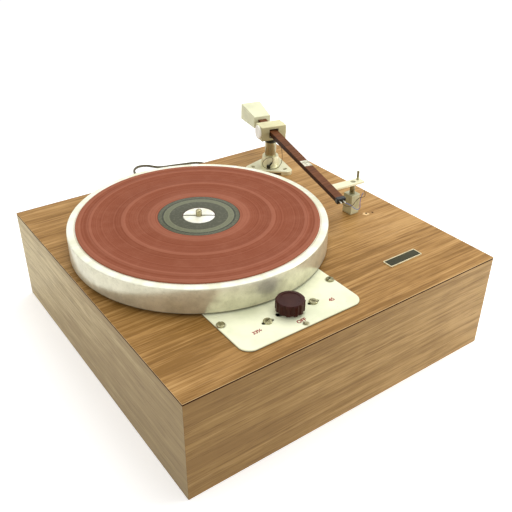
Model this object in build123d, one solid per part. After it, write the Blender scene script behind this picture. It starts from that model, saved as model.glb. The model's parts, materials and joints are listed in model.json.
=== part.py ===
from build123d import *
from math import acos, atan2, cos, degrees, hypot, pi, radians, sin, sqrt, tan
import os

# A two-speed turntable in a veneered box: an idler wheel under the platter is pressed between a stepped
# motor pulley and the platter's inner rim, and a wooden tonearm stands on its own pillar behind.
# Millimetres. The origin is the middle of the box on the surface that it stands on. +X runs along the
# front to the right, +Y to the back, +Z up.

# Box
plinth_width = 419.0
plinth_depth = 424.0
plinth_height = 124.0
panel_thickness = 16.0
veneer_lip = 1.0
board_thickness = 18.0
base_thickness = 5.0
vent_length = 60.0
vent_width = 6.0
vent_pitch = 14.0
vent_count = 5
glue_block_leg = 30.0

# Platter axis, from the middle of the box
platter_x = -52.3
platter_y = 15.2

# Deck plate
plate_width = 152.0
plate_front_margin = 21.5
plate_rear_reach = 62.0
plate_thickness = 2.0
plate_corner = 13.0
plate_lap = 12.0
cutout_corner = 8.0
plate_edge_round = 0.5
deck_screw_inset = 4.8
deck_screw_front = 155.5
deck_screw_rear = 45.0
deck_screw_head_radius = 4.5
deck_screw_head_height = 2.2
deck_screw_radius = 1.9
deck_screw_length = 15.0
driver_slot_width = 1.1
driver_slot_depth = 1.0
rivet_radius = 2.9
rivet_height = 1.0
rivet_shank_radius = 1.5
rivet_front_margin = 4.0

# Running and assembly clearances
running_clearance = 0.05
end_clearance = 0.05
assembly_clearance = 0.4
grip_clearance = 0.2
slot_clearance = 0.6
cut_overrun = 1.0

# Platter
platter_radius = 152.4
rim_inner_radius = 146.0
rim_lip_width = 8.9
rim_lip_height = 0.5
platter_gap = 3.6
platter_side_height = 30.5
platter_web = 5.0
platter_edge_round = 1.2
platter_boss_radius = 24.0
rib_count = 8
rib_width = 4.0
rib_depth = 4.0
rib_outer_radius = 110.0
mat_radius = 142.5
mat_thickness = 2.0
mat_groove_depth = 0.4
mat_groove_width = 1.6
mat_groove_shares = (0.40, 0.62, 0.89)
label_radius = 48.3
label_thickness = 0.4
hub_radius = 19.05
hub_height = 11.5
hub_bore_clearance = 0.08
hub_slot_width = 2.6
hub_slot_depth = 1.6
hub_edge = 0.8

# Main bearing
shaft_radius = 6.35
spindle_radius = 3.58
spindle_root_radius = 3.9
spindle_above_mat = 7.9
spindle_nose = 2.0
shaft_flange_radius = 14.0
shaft_flange_height = 3.0
shaft_below_deck = 56.0
bush_wall = 2.7
bush_length = 16.0
well_wall = 3.2
well_neck_height = 9.0
well_flange_radius = 28.0
well_flange_height = 4.0
well_floor = 5.0
ball_radius = 3.0

# Drive
drive_centre_distance = 127.0
motor_speed = 1750.0
slow_speed = 100.0 / 3.0
fast_speed = 45.0
idler_radius = 25.0
tyre_wall = 5.0
tyre_width = 5.0
idler_web = 2.2
idler_hub_radius = 6.0
idler_level = 7.0
idler_level_step = 8.0
axle_radius = 1.5
axle_boss_radius = 3.2
axle_tip = 1.6
pulley_boss_radius = 5.0
pulley_boss_height = 2.0
pulley_start = 4.0
pulley_step_height = 8.2
motor_shaft_radius = 2.0

# Selector
pivot_setback = 14.0
knob_reach = 62.7
selector_swing = 12.3
rocker_thickness = 2.0
rocker_drop = 6.0
rocker_arm_half_width = 7.5
lever_half_width = 7.0
lever_root_half_width = 12.0
stem_radius = 3.0
stud_radius = 2.5
stud_collar_radius = 4.0
stud_head_radius = 4.5
stud_head_height = 2.2
knob_radius = 15.5
knob_lift = 3.0
knob_height = 12.2
knob_lobes = 12
knob_groove_radius = 3.0
knob_groove_depth = 1.2
knob_edge = 1.2
knob_dish_radius = 11.0
knob_dish_depth = 0.5
knob_stem_grip = 8.5
follower_reach = 44.0
follower_radius = 1.5
follower_length = 3.0
follower_clearance = 0.2

# Switch
switch_width = 12.0
switch_length = 50.0
switch_floor = 4.0
switch_leg = 5.0
switch_groove_width = 6.0
slider_floor = 1.5
slider_clearance = 0.2
slider_length = 10.0

# Motor
mount_half_spacing_x = 29.5
mount_half_spacing_y = 50.5
mount_slot_length = 14.5
mount_slot_width = 4.5
mount_screw_head_radius = 4.9
mount_screw_head_height = 2.2
mount_screw_radius = 2.0
mount_screw_length = 9.0
post_radius = 4.0
post_length = 11.0
grommet_radius = 7.0
grommet_waist_radius = 4.8
grommet_flange = 3.0
motor_plate_thickness = 2.0
motor_plate_width = 70.0
motor_plate_length = 117.0
motor_plate_corner = 8.0
nut_height = 3.0
bell_radius = 35.0
bell_height = 18.0
bell_wall = 2.5
bell_vent_count = 6
bell_vent_width = 8.0
bell_vent_height = 6.0
bell_boss_radius = 7.0
stator_side = 74.0
stator_height = 28.0
stator_corner = 9.0
rotor_radius = 22.0
air_gap = 0.4
shaft_tail = 3.0

# Blank badge on the top
badge_x = 120.0
badge_y = -152.7
badge_length = 50.7
badge_width = 14.0
badge_thickness = 0.8
badge_border = 1.2
badge_border_height = 0.5
badge_corner = 1.5

# Tonearm stand
pillar_x = 146.0
pillar_y = 140.2
pillar_radius = 8.1
pillar_top = 41.5
stand_reach = 46.0
stand_corner = 8.0
stand_thickness = 6.0
stand_relief_radius = 30.0
stand_relief_depth = 3.0
stand_turn = -74.4
stand_edge = 0.8
stand_screw_circle = 27.0
stand_slot_length = 7.6
stand_slot_width = 5.2
stand_slot_depth = 1.8
stand_hole_clearance = 0.3
stand_screw_head_radius = 2.4
stand_screw_head_height = 1.4
stand_screw_radius = 1.6
stand_screw_length = 14.0
collar_base_radius = 14.0
collar_top_radius = 11.5
collar_height = 15.0
spigot_radius = 5.6
spigot_length = 10.0
washer_radius = 7.6
washer_height = 6.0
yaw_pin_radius = 4.0
yaw_pin_length = 24.0
wire_hole_radius = 5.0
connector_size = 5.0
connector_depth = 4.0
connector_pin_radius = 1.2
connector_pin_length = 8.5
connector_turn = 224.5
connector_lean = 36.5
connector_lean_turn = -35.6

# Tonearm
arm_yaw = 12.9
arm_pitch = 3.85
pivot_height = 58.4
housing_width = 38.0
housing_depth = 22.0
housing_top = 68.5
housing_edge = 0.8
window_width = 14.0
window_low = 51.3
window_high = 64.3
cap_radius = 9.8
cap_thickness = 2.0
cap_edge = 0.8
pivot_pin_radius = 1.5
pivot_pin_bite = 1.6
arm_length = 206.0
arm_tail = 40.0
arm_width = 12.5
arm_height = 7.4
arm_tip_width = 11.5
arm_tip_height = 5.3
arm_edge = 0.4
arm_plate_from = 107.0
arm_plate_length = 15.0
arm_plate_thickness = 0.4
arm_plate_margin = 0.5
head_cap_length = 6.0
head_cap_width = 12.2
head_cap_height = 7.4
head_cap_edge = 1.2
contact_radius = 0.9
contact_length = 5.0
contact_half_spacing = 2.4
weight_from = 32.0
weight_length = 46.0
weight_front_width = 25.0
weight_rear_width = 30.0
weight_front_height = 17.4
weight_rear_height = 24.2
weight_edge = 0.5
weight_wall = 1.3

# Arm rest
rest_x = 149.6
rest_y = -31.0
rest_block_width = 14.4
rest_block_depth = 15.8
rest_block_height = 27.0
rest_block_edge = 0.5
rest_rod_radius = 3.3
rest_rod_grip = 14.0
rest_travel = 10.0
rest_gap = 0.3
bar_thickness = 3.2
bar_width = 12.5
bar_left = 47.0
bar_right = 14.0
bar_turn = -4.2
bar_edge = 0.4
rest_pin_x = 8.7
rest_pin_y = 1.6
rest_pin_radius = 1.6
rest_pin_height = 12.2
rest_pin_edge = 0.5

# Two small holes left in the top beside the arm rest
spare_hole_radius = 1.1
spare_hole_depth = 8.0
spare_hole_places = ((163.0, -46.8), (171.7, -49.4))

# Mains lead
cord_diameter = 4.0
exit_x = 130.5
exit_height = 28.0
gland_barrel_radius = 5.0
gland_flange_radius = 8.0
gland_flange = 2.0
relief_length = 26.0
relief_root_radius = 4.8
relief_tip_radius = 3.0
coil_x = 40.0
coil_y = 318.0
coil_mean_radius = 22.0
coil_pitch = 4.7
coil_turns = 4
coil_layer_rise = 4.8
coil_climb_turns = 0.5
coil_lead_length = 34.0
coil_lead_shift = 3.0
plug_body_radius = 11.0
plug_neck_radius = 4.0
plug_body_length = 22.0
plug_neck_length = 14.0
plug_edge = 2.0
plug_gap = 0.05
blade_width = 6.35
blade_thickness = 1.5
blade_length = 17.0
blade_half_spacing = 6.35

# Fine wires
wire_diameter = 0.8

# Two directions closer than this cosine count as the same one
same_direction_cosine = 0.999999

# Heights worked out from the sizes above
deck = plinth_height
plate_top = deck + plate_thickness
platter_low = deck + platter_gap
rim_top = platter_low + platter_side_height
platter_face = rim_top - rim_lip_height
web_low = platter_face - platter_web
mat_top = platter_face + mat_thickness
hub_floor = mat_top - hub_height
flange_top = deck + well_neck_height + end_clearance + shaft_flange_height
boss_low = flange_top
motor_y = platter_y - drive_centre_distance
pivot_y = motor_y + pivot_setback
knob_y = pivot_y - knob_reach
plate_front = plate_front_margin - plinth_depth / 2
plate_rear = platter_y + plate_rear_reach
rocker_low = deck - rocker_drop
rocker_high = rocker_low + rocker_thickness
slider_high = rocker_low - follower_clearance
slider_low = slider_high - follower_length - slider_floor
grommet_top = deck - post_length
motor_plate_high = grommet_top - grommet_flange
motor_plate_low = motor_plate_high - motor_plate_thickness
grommet_low = motor_plate_low - grommet_flange
stator_high = motor_plate_low - bell_height
stator_low = stator_high - stator_height
bell_low = stator_low - bell_height
shaft_end = deck - shaft_below_deck
stand_top = deck + stand_thickness
collar_top = stand_top + collar_height
pillar_high = deck + pillar_top
washer_high = pillar_high + washer_height
housing_low = washer_high + end_clearance
pivot_z = deck + pivot_height
pulley_slow = rim_inner_radius * slow_speed / motor_speed
pulley_fast = rim_inner_radius * fast_speed / motor_speed


def cylinder_between(radius, low, high, x=0.0, y=0.0):
    """Upright cylinder from one height to another."""
    return Pos(x, y, (low + high) / 2) * Cylinder(radius, high - low)


def block_between(x_low, x_high, y_low, y_high, z_low, z_high):
    """Box between two corners."""
    middle = Pos((x_low + x_high) / 2, (y_low + y_high) / 2, (z_low + z_high) / 2)
    return middle * Box(x_high - x_low, y_high - y_low, z_high - z_low)


def turned(points, x=0.0, y=0.0):
    """Solid of revolution about an upright axis, from radius and height pairs."""
    profile = make_face(Polyline(*[(radius, 0, height) for radius, height in points], close=True))
    return Pos(x, y, 0) * revolve(profile, Axis.Z, 360)


def slotted_screw(head_radius, head_height, shank_radius, shank_length, turn):
    """Screw with a slotted pan head whose underside is at height zero."""
    head = cylinder_between(head_radius, 0, head_height)
    head = chamfer(head.edges().sort_by(Axis.Z)[-1], head_height / 3)
    slot = Pos(0, 0, head_height) * Box(3 * head_radius, driver_slot_width, 2 * driver_slot_depth)
    return Rot(0, 0, turn) * (head - slot) + cylinder_between(shank_radius, -shank_length, 0)


def curved_slot(reach, width, middle_angle, half_angle, low, high):
    """Slot along an arc about the selector's pivot, cut from one height to another."""
    spine = CenterArc((0, 0), reach, middle_angle - half_angle, 2 * half_angle)
    slot = extrude(SlotArc(spine, width), high - low)
    return Pos(platter_x, pivot_y, low) * slot


def about_pivot(x, y, angle):
    """Point beside the selector's pivot after the selector turns by an angle in degrees."""
    turn = radians(angle)
    return x * cos(turn) - y * sin(turn), x * sin(turn) + y * cos(turn)


def idler_place(step_radius, side):
    """Idler axis at rest, from the selector's pivot: swung back from where it grips pulley and rim."""
    to_pulley = step_radius + idler_radius + grip_clearance
    to_centre = rim_inner_radius - idler_radius - grip_clearance
    share = (drive_centre_distance ** 2 + to_pulley ** 2 - to_centre ** 2) / (2 * drive_centre_distance * to_pulley)
    angle = acos(share)
    grip_x = side * to_pulley * sin(angle)
    grip_y = to_pulley * cos(angle) - pivot_setback
    return about_pivot(grip_x, grip_y, side * selector_swing)


slow_idler = idler_place(pulley_slow, 1)
fast_idler = idler_place(pulley_fast, -1)
fast_level = deck + idler_level
slow_level = fast_level + idler_level_step


def arm_at(along, across, up):
    """Point in the tonearm's own frame: along it from its pivot, to its left, and above it."""
    frame = Pos(pillar_x, pillar_y, pivot_z) * Rot(0, 0, -90 - arm_yaw) * Rot(0, arm_pitch, 0)
    return (frame * Pos(along, across, up)).position


arm_frame = Pos(pillar_x, pillar_y, pivot_z) * Rot(0, 0, -90 - arm_yaw) * Rot(0, arm_pitch, 0)
yoke_frame = Pos(pillar_x, pillar_y, 0) * Rot(0, 0, -90 - arm_yaw)


def arm_half_height(along):
    """Half the arm's height at a distance in front of its pivot."""
    share = along / arm_length
    return (arm_height + (arm_tip_height - arm_height) * share) / 2


bar_near_along = (pillar_y - rest_y + bar_width / 2) / cos(radians(arm_yaw))
bar_top = arm_at(bar_near_along, 0, -arm_half_height(bar_near_along)).Z - rest_gap
bar_low = bar_top - bar_thickness


def mitred_panel(length, inner_length, low, high):
    """Side panel lying along X with its outer face at Y zero and both ends cut at 45 degrees."""
    outline = Polyline(
        (-length / 2, 0), (length / 2, 0), (inner_length / 2, panel_thickness),
        (-inner_length / 2, panel_thickness), close=True)
    return Pos(0, 0, low) * extrude(make_face(outline), high - low)


def front_panel():
    """Front panel of the box."""
    panel = mitred_panel(plinth_width, plinth_width - 2 * panel_thickness, 0, deck - veneer_lip)
    return Pos(0, -plinth_depth / 2, 0) * panel


def back_panel():
    """Back panel, bored for the mains lead's gland."""
    panel = mitred_panel(plinth_width, plinth_width - 2 * panel_thickness, 0, deck - veneer_lip)
    panel = Pos(0, plinth_depth / 2, 0) * Rot(0, 0, 180) * panel
    bore = Rot(90, 0, 0) * Cylinder(gland_barrel_radius, plinth_depth)
    return panel - Pos(exit_x, plinth_depth / 2, exit_height) * bore


def side_panel(side):
    """Left or right panel."""
    panel = mitred_panel(plinth_depth, plinth_depth - 2 * panel_thickness, 0, deck - veneer_lip)
    return Pos(side * plinth_width / 2, 0, 0) * Rot(0, 0, side * 90) * panel


def deck_outline(inset, corner, low, high):
    """Rounded rectangle of the deck plate, drawn in by an inset."""
    length = plate_rear - plate_front - 2 * inset
    outline = RectangleRounded(plate_width - 2 * inset, length, corner)
    return Pos(platter_x, (plate_front + plate_rear) / 2, low) * extrude(outline, high - low)


def deck_screw_places():
    """The four screws along the deck plate's long edges."""
    half = plate_width / 2 - deck_screw_inset
    rows = (platter_y - deck_screw_front, platter_y + deck_screw_rear)
    return [(platter_x + side * half, y) for side in (-1, 1) for y in rows]


def mount_places():
    """The motor's four suspension points."""
    return [(platter_x + a * mount_half_spacing_x, motor_y + b * mount_half_spacing_y)
            for a in (-1, 1) for b in (-1, 1)]


def stand_screw_places():
    """The three screws of the tonearm stand."""
    angles = [radians(stand_turn + 120 * number) for number in range(3)]
    return [(pillar_x + stand_screw_circle * cos(a), pillar_y + stand_screw_circle * sin(a)) for a in angles]


def top_board():
    """Top board with its veneered lip, the mechanism's cut-out and the holes for what stands on it."""
    lip_low = deck - veneer_lip
    inner_x = plinth_width / 2 - panel_thickness
    inner_y = plinth_depth / 2 - panel_thickness
    board = block_between(-plinth_width / 2, plinth_width / 2, -plinth_depth / 2, plinth_depth / 2, lip_low, deck)
    board += block_between(-inner_x, inner_x, -inner_y, inner_y, deck - board_thickness, lip_low)
    low = deck - board_thickness - cut_overrun
    board -= deck_outline(plate_lap, cutout_corner, low, deck + cut_overrun)
    for x, y in deck_screw_places():
        board -= cylinder_between(deck_screw_radius, deck - deck_screw_length + plate_thickness, deck + cut_overrun, x, y)
    for x, y in stand_screw_places():
        hole_low = stand_top - stand_slot_depth - stand_screw_length
        board -= cylinder_between(stand_screw_radius, hole_low, deck + cut_overrun, x, y)
    board -= cylinder_between(wire_hole_radius, low, deck + cut_overrun, pillar_x, pillar_y)
    for x, y in spare_hole_places:
        board -= cylinder_between(spare_hole_radius, deck - spare_hole_depth, deck + cut_overrun, x, y)
    return board


def base_board():
    """Base board between the panels, with a row of cooling slots under the motor."""
    inner_x = plinth_width / 2 - panel_thickness
    inner_y = plinth_depth / 2 - panel_thickness
    board = block_between(-inner_x, inner_x, -inner_y, inner_y, 0, base_thickness)
    slot = extrude(SlotOverall(vent_length, vent_width), base_thickness + 2 * cut_overrun)
    for number in range(vent_count):
        y = motor_y + (number - (vent_count - 1) / 2) * vent_pitch
        board -= Pos(platter_x, y, -cut_overrun) * slot
    return board


def glue_blocks():
    """Three-cornered blocks glued into the box's inner corners."""
    half_x = plinth_width / 2 - panel_thickness
    half_y = plinth_depth / 2 - panel_thickness
    outline = make_face(Polyline((0, 0), (-glue_block_leg, 0), (0, -glue_block_leg), close=True))
    block = Pos(0, 0, base_thickness) * extrude(outline, deck - board_thickness - base_thickness)
    corners = ((half_x, half_y, 0), (-half_x, half_y, 90), (-half_x, -half_y, 180), (half_x, -half_y, 270))
    return Compound(children=[Pos(x, y, 0) * Rot(0, 0, turn) * block for x, y, turn in corners])


def deck_plate():
    """Aluminium deck plate that carries motor, selector and main bearing."""
    low = deck - cut_overrun
    high = plate_top + cut_overrun
    plate = deck_outline(0, plate_corner, deck, plate_top)
    plate = chamfer(plate.faces().sort_by(Axis.Z)[-1].edges(), plate_edge_round)
    plate -= cylinder_between(well_neck_radius() + running_clearance, low, high, platter_x, platter_y)
    plate -= cylinder_between(pulley_boss_radius + slot_clearance, low, high, platter_x, motor_y)
    plate -= cylinder_between(stud_radius, low, high, platter_x, pivot_y)
    plate -= curved_slot(knob_reach, 2 * (stem_radius + slot_clearance), -90, selector_swing, low, high)
    for x, y in (slow_idler, fast_idler):
        angle = degrees(atan2(y, x))
        plate -= curved_slot(hypot(x, y), 2 * (axle_boss_radius + slot_clearance), angle, selector_swing, low, high)
    slot = extrude(SlotOverall(mount_slot_length, mount_slot_width), high - low)
    for x, y in mount_places():
        plate -= Pos(x, y, low) * slot
    for x, y in deck_screw_places():
        plate -= cylinder_between(deck_screw_radius, low, high, x, y)
    plate -= cylinder_between(rivet_shank_radius, low, high, platter_x, plate_front + rivet_front_margin)
    return plate


def deck_screws():
    """Four slotted screws that hold the deck plate to the top board."""
    screws = []
    for number, (x, y) in enumerate(deck_screw_places()):
        turn = 55 + 73 * number
        screw = slotted_screw(deck_screw_head_radius, deck_screw_head_height, deck_screw_radius, deck_screw_length, turn)
        screws.append(Pos(x, y, plate_top) * screw)
    return Compound(children=screws)


def deck_rivet():
    """Small domed rivet at the middle of the deck plate's front edge."""
    y = plate_front + rivet_front_margin
    head = cylinder_between(rivet_radius, plate_top, plate_top + rivet_height, platter_x, y)
    head = chamfer(head.edges().sort_by(Axis.Z)[-1], rivet_height / 2)
    return head + cylinder_between(rivet_shank_radius, deck, plate_top, platter_x, y)


def badge_plate():
    """Blank badge with a raised border."""
    outline = RectangleRounded(badge_length, badge_width, badge_corner)
    inner = RectangleRounded(badge_length - 2 * badge_border, badge_width - 2 * badge_border, badge_corner / 2)
    plate = extrude(outline, badge_thickness + badge_border_height)
    plate -= Pos(0, 0, badge_thickness) * extrude(inner, badge_border_height + cut_overrun)
    return Pos(badge_x, badge_y, deck) * plate


def well_neck_radius():
    """Outer radius of the bearing well's tube."""
    return shaft_radius + running_clearance + bush_wall + well_wall


def bush_outer_radius():
    """Outer radius of the bearing bushes."""
    return shaft_radius + running_clearance + bush_wall


def bearing_well():
    """Flanged well that hangs under the deck plate and holds two bushes and the thrust ball."""
    neck = well_neck_radius()
    floor_high = shaft_end - end_clearance - 2 * ball_radius
    low = floor_high - well_floor
    outer = [(0, low), (neck, low), (neck, deck - well_flange_height), (well_flange_radius, deck - well_flange_height),
             (well_flange_radius, deck), (neck, deck), (neck, deck + well_neck_height),
             (bush_outer_radius(), deck + well_neck_height), (bush_outer_radius(), floor_high), (0, floor_high)]
    return turned(outer, platter_x, platter_y)


def bearing_bushes():
    """Bronze bushes at the well's top and bottom."""
    inner = shaft_radius + running_clearance
    outer = bush_outer_radius()
    bushes = []
    for high in (deck + well_neck_height, shaft_end + bush_length):
        low = high - bush_length
        ring = [(inner, low), (outer, low), (outer, high), (inner, high)]
        bushes.append(turned(ring, platter_x, platter_y))
    return Compound(children=bushes)


def thrust_ball():
    """Steel ball under the platter shaft."""
    return Pos(platter_x, platter_y, shaft_end - end_clearance - ball_radius) * Sphere(ball_radius)


def spindle_shaft():
    """Platter shaft with its carrying flange and the record spindle above it."""
    flange_low = flange_top - shaft_flange_height
    tip = mat_top + spindle_above_mat
    outline = [(0, shaft_end), (shaft_radius, shaft_end), (shaft_radius, flange_low), (shaft_flange_radius, flange_low),
               (shaft_flange_radius, flange_top), (shaft_radius, flange_top), (shaft_radius, hub_floor),
               (spindle_root_radius, hub_floor), (spindle_root_radius, mat_top), (spindle_radius, mat_top),
               (spindle_radius, tip - spindle_nose),
               (spindle_radius - spindle_nose / 2, tip - spindle_nose / 4), (spindle_radius / 2, tip), (0, tip)]
    return turned(outline, platter_x, platter_y)


def platter():
    """Cast platter: turned rim driven from inside, ribbed web, boss on the shaft and a well for the hub."""
    lip_inner = platter_radius - rim_lip_width
    edge = platter_edge_round
    well = hub_radius + assembly_clearance
    outline = [(shaft_radius, boss_low), (platter_boss_radius, boss_low), (platter_boss_radius, web_low),
               (rim_inner_radius - edge, web_low), (rim_inner_radius, web_low - edge),
               (rim_inner_radius, platter_low), (platter_radius - edge / 2, platter_low),
               (platter_radius, platter_low + edge / 2), (platter_radius, rim_top - edge),
               (platter_radius - edge / 3, rim_top - edge / 3), (platter_radius - edge, rim_top), (lip_inner, rim_top),
               (lip_inner, platter_face), (well, platter_face), (well, hub_floor), (shaft_radius, hub_floor)]
    body = turned(outline)
    start = platter_boss_radius - rib_width
    rib = block_between(start, rib_outer_radius, -rib_width / 2, rib_width / 2, web_low - rib_depth, web_low)
    for number in range(rib_count):
        body += Rot(0, 0, 360 * number / rib_count) * rib
    return Pos(platter_x, platter_y, 0) * body


def platter_mat():
    """Rubber mat with a recess for the label and shallow rings at the record edges."""
    inner = hub_radius + assembly_clearance
    seat = mat_top - label_thickness
    points = [(inner, platter_face), (mat_radius, platter_face), (mat_radius, mat_top)]
    for share in reversed(mat_groove_shares):
        middle = mat_radius * share
        points += [(middle + mat_groove_width / 2, mat_top), (middle, mat_top - mat_groove_depth),
                   (middle - mat_groove_width / 2, mat_top)]
    recess = label_radius + running_clearance
    points += [(recess, mat_top), (recess, seat), (inner, seat)]
    return turned(points, platter_x, platter_y)


def strobe_label():
    """Printed disc at the middle of the mat."""
    inner = hub_radius + assembly_clearance
    low = mat_top - label_thickness
    return turned([(inner, low), (label_radius, low), (label_radius, mat_top), (inner, mat_top)], platter_x, platter_y)


def hub_45():
    """Retractable hub for wide-holed records, with a finger slot across its face."""
    low = mat_top - hub_height
    body = cylinder_between(hub_radius, low, mat_top)
    body = chamfer(body.edges().sort_by(Axis.Z)[-1], hub_edge)
    body -= cylinder_between(spindle_root_radius + hub_bore_clearance, low - cut_overrun, mat_top + cut_overrun)
    body -= Pos(0, 0, mat_top) * Box(3 * hub_radius, hub_slot_width, 2 * hub_slot_depth)
    return Pos(platter_x, platter_y, 0) * Rot(0, 0, -34) * body


def speed_knob():
    """Scalloped knob on the selector's stem."""
    low = plate_top + knob_lift
    high = low + knob_height
    body = cylinder_between(knob_radius, low, high)
    body = chamfer(body.edges().sort_by(Axis.Z)[-1], knob_edge)
    distance = knob_radius + knob_groove_radius - knob_groove_depth
    for number in range(knob_lobes):
        angle = 2 * pi * number / knob_lobes
        body -= cylinder_between(knob_groove_radius, low - cut_overrun, high + cut_overrun,
                                 distance * cos(angle), distance * sin(angle))
    body -= cylinder_between(knob_dish_radius, high - knob_dish_depth, high + cut_overrun)
    body -= cylinder_between(stem_radius, low - cut_overrun, low + knob_stem_grip)
    return Pos(platter_x, knob_y, 0) * body


def selector_rocker():
    """Rocker: a lever to the knob, two arms for the idlers, the knob's stem and the switch's follower pin."""
    arm_end = follower_reach + rocker_arm_half_width
    left_end = hypot(*fast_idler) + rocker_arm_half_width
    lever = make_face(Polyline(
        (-lever_root_half_width, 0), (lever_root_half_width, 0), (lever_half_width, -knob_reach),
        (-lever_half_width, -knob_reach), close=True))
    arms = Pos((arm_end - left_end) / 2, 0) * SlotOverall(arm_end + left_end, 2 * rocker_arm_half_width)
    outline = lever + arms + Pos(0, -knob_reach) * Circle(lever_half_width)
    plate = Pos(platter_x, pivot_y, rocker_low) * extrude(outline, rocker_thickness)
    high = rocker_high + cut_overrun
    low = rocker_low - cut_overrun
    plate -= cylinder_between(stud_radius + running_clearance, low, high, platter_x, pivot_y)
    plate -= curved_slot(pivot_setback, 2 * (pulley_boss_radius - slot_clearance), -90, selector_swing, low, high)
    stem_high = plate_top + knob_lift + knob_stem_grip
    plate += cylinder_between(stem_radius, rocker_low, stem_high, platter_x, knob_y)
    pin_x = platter_x + follower_reach
    return plate + cylinder_between(follower_radius, rocker_low - follower_length, rocker_high, pin_x, pivot_y)


def rocker_stud():
    """Shoulder stud in the deck plate that the rocker turns on."""
    collar_low = rocker_high + end_clearance
    head_high = rocker_low - end_clearance
    outline = [(0, head_high - stud_head_height), (stud_head_radius, head_high - stud_head_height),
               (stud_head_radius, head_high), (stud_radius, head_high), (stud_radius, collar_low),
               (stud_collar_radius, collar_low), (stud_collar_radius, deck), (stud_radius, deck),
               (stud_radius, plate_top), (0, plate_top)]
    return turned(outline, platter_x, pivot_y)


def idler_axles():
    """Shouldered axles riveted to the rocker's two arms."""
    axles = []
    for (x, y), level in ((slow_idler, slow_level), (fast_idler, fast_level)):
        shoulder = level - end_clearance
        tip = level + tyre_width + axle_tip
        outline = [(0, rocker_high), (axle_boss_radius, rocker_high), (axle_boss_radius, shoulder),
                   (axle_radius, shoulder), (axle_radius, tip), (0, tip)]
        axles.append(turned(outline, platter_x + x, pivot_y + y))
    return Compound(children=axles)


def idler_wheel(place, level):
    """Idler wheel: hub, thin web and a rim that the tyre sits on."""
    x, y = place
    bore = axle_radius + running_clearance
    rim = idler_radius - tyre_wall
    top = level + tyre_width
    web_from = level + (tyre_width - idler_web) / 2
    web_to = web_from + idler_web
    rim_in = rim - idler_web
    outline = [(bore, level), (idler_hub_radius, level), (idler_hub_radius, web_from), (rim_in, web_from),
               (rim_in, level), (rim, level), (rim, top), (rim_in, top), (rim_in, web_to), (idler_hub_radius, web_to),
               (idler_hub_radius, top), (bore, top)]
    return turned(outline, platter_x + x, pivot_y + y)


def idler_tyre(place, level):
    """Rubber tyre of an idler wheel, with a crowned tread."""
    x, y = place
    inner = idler_radius - tyre_wall
    edge = tyre_width / 6
    top = level + tyre_width
    outline = [(inner, level), (idler_radius - edge, level), (idler_radius, level + edge),
               (idler_radius, top - edge), (idler_radius - edge, top), (inner, top)]
    return turned(outline, platter_x + x, pivot_y + y)


def power_switch():
    """Slide switch hung under the deck plate on two legs, with a groove for its slider."""
    x = platter_x + follower_reach
    groove_low = slider_low - end_clearance
    low = groove_low - switch_floor
    half = switch_length / 2
    width = switch_width / 2
    body = block_between(x - width, x + width, pivot_y - half, pivot_y + half, low, slider_high)
    for y in (pivot_y - half, pivot_y + half - switch_leg):
        body += block_between(x - width, x + width, y, y + switch_leg, slider_high, deck)
    groove = half - switch_leg
    width = switch_groove_width / 2
    return body - block_between(x - width, x + width, pivot_y - groove, pivot_y + groove,
                                groove_low, slider_high + cut_overrun)


def switch_slider():
    """Slider with a fork that the rocker's follower pin moves."""
    x = platter_x + follower_reach
    half_x = switch_groove_width / 2 - slider_clearance
    half_y = slider_length / 2
    body = block_between(x - half_x, x + half_x, pivot_y - half_y, pivot_y + half_y, slider_low, slider_high)
    fork = follower_radius + follower_clearance
    return body - block_between(x - switch_width, x + switch_width, pivot_y - fork, pivot_y + fork,
                                slider_low + slider_floor, slider_high + cut_overrun)


def motor_screws():
    """Slotted screws through the deck plate's short slots into the motor's posts."""
    screws = []
    for number, (x, y) in enumerate(mount_places()):
        turn = 20 + 50 * number
        screw = slotted_screw(mount_screw_head_radius, mount_screw_head_height, mount_screw_radius,
                              mount_screw_length, turn)
        screws.append(Pos(x, y, plate_top) * screw)
    return Compound(children=screws)


def motor_posts():
    """Hexagonal posts with a stud and nut at the foot, which carry the motor's rubber mounts."""
    hexagon = RegularPolygon(post_radius, 6, major_radius=False)
    posts = []
    for x, y in mount_places():
        post = Pos(0, 0, grommet_top) * extrude(hexagon, post_length)
        post -= cylinder_between(mount_screw_radius, plate_top - mount_screw_length, deck + cut_overrun)
        post += cylinder_between(mount_screw_radius, grommet_low - nut_height - end_clearance, grommet_top)
        post += Pos(0, 0, grommet_low - nut_height) * extrude(hexagon, nut_height)
        posts.append(Pos(x, y, 0) * post)
    return Compound(children=posts)


def motor_grommets():
    """Rubber mounts in the motor plate's ears."""
    outline = [(mount_screw_radius, grommet_low), (grommet_radius, grommet_low), (grommet_radius, motor_plate_low),
               (grommet_waist_radius, motor_plate_low), (grommet_waist_radius, motor_plate_high),
               (grommet_radius, motor_plate_high), (grommet_radius, grommet_top), (mount_screw_radius, grommet_top)]
    return Compound(children=[turned(outline, x, y) for x, y in mount_places()])


def motor_plate():
    """Steel plate that the motor hangs from."""
    plate = Pos(platter_x, motor_y, motor_plate_low) * extrude(
        RectangleRounded(motor_plate_width, motor_plate_length, motor_plate_corner), motor_plate_thickness)
    low = motor_plate_low - cut_overrun
    high = motor_plate_high + cut_overrun
    plate -= cylinder_between(bell_boss_radius, low, high, platter_x, motor_y)
    for x, y in mount_places():
        plate -= cylinder_between(grommet_waist_radius, low, high, x, y)
    return plate


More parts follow.
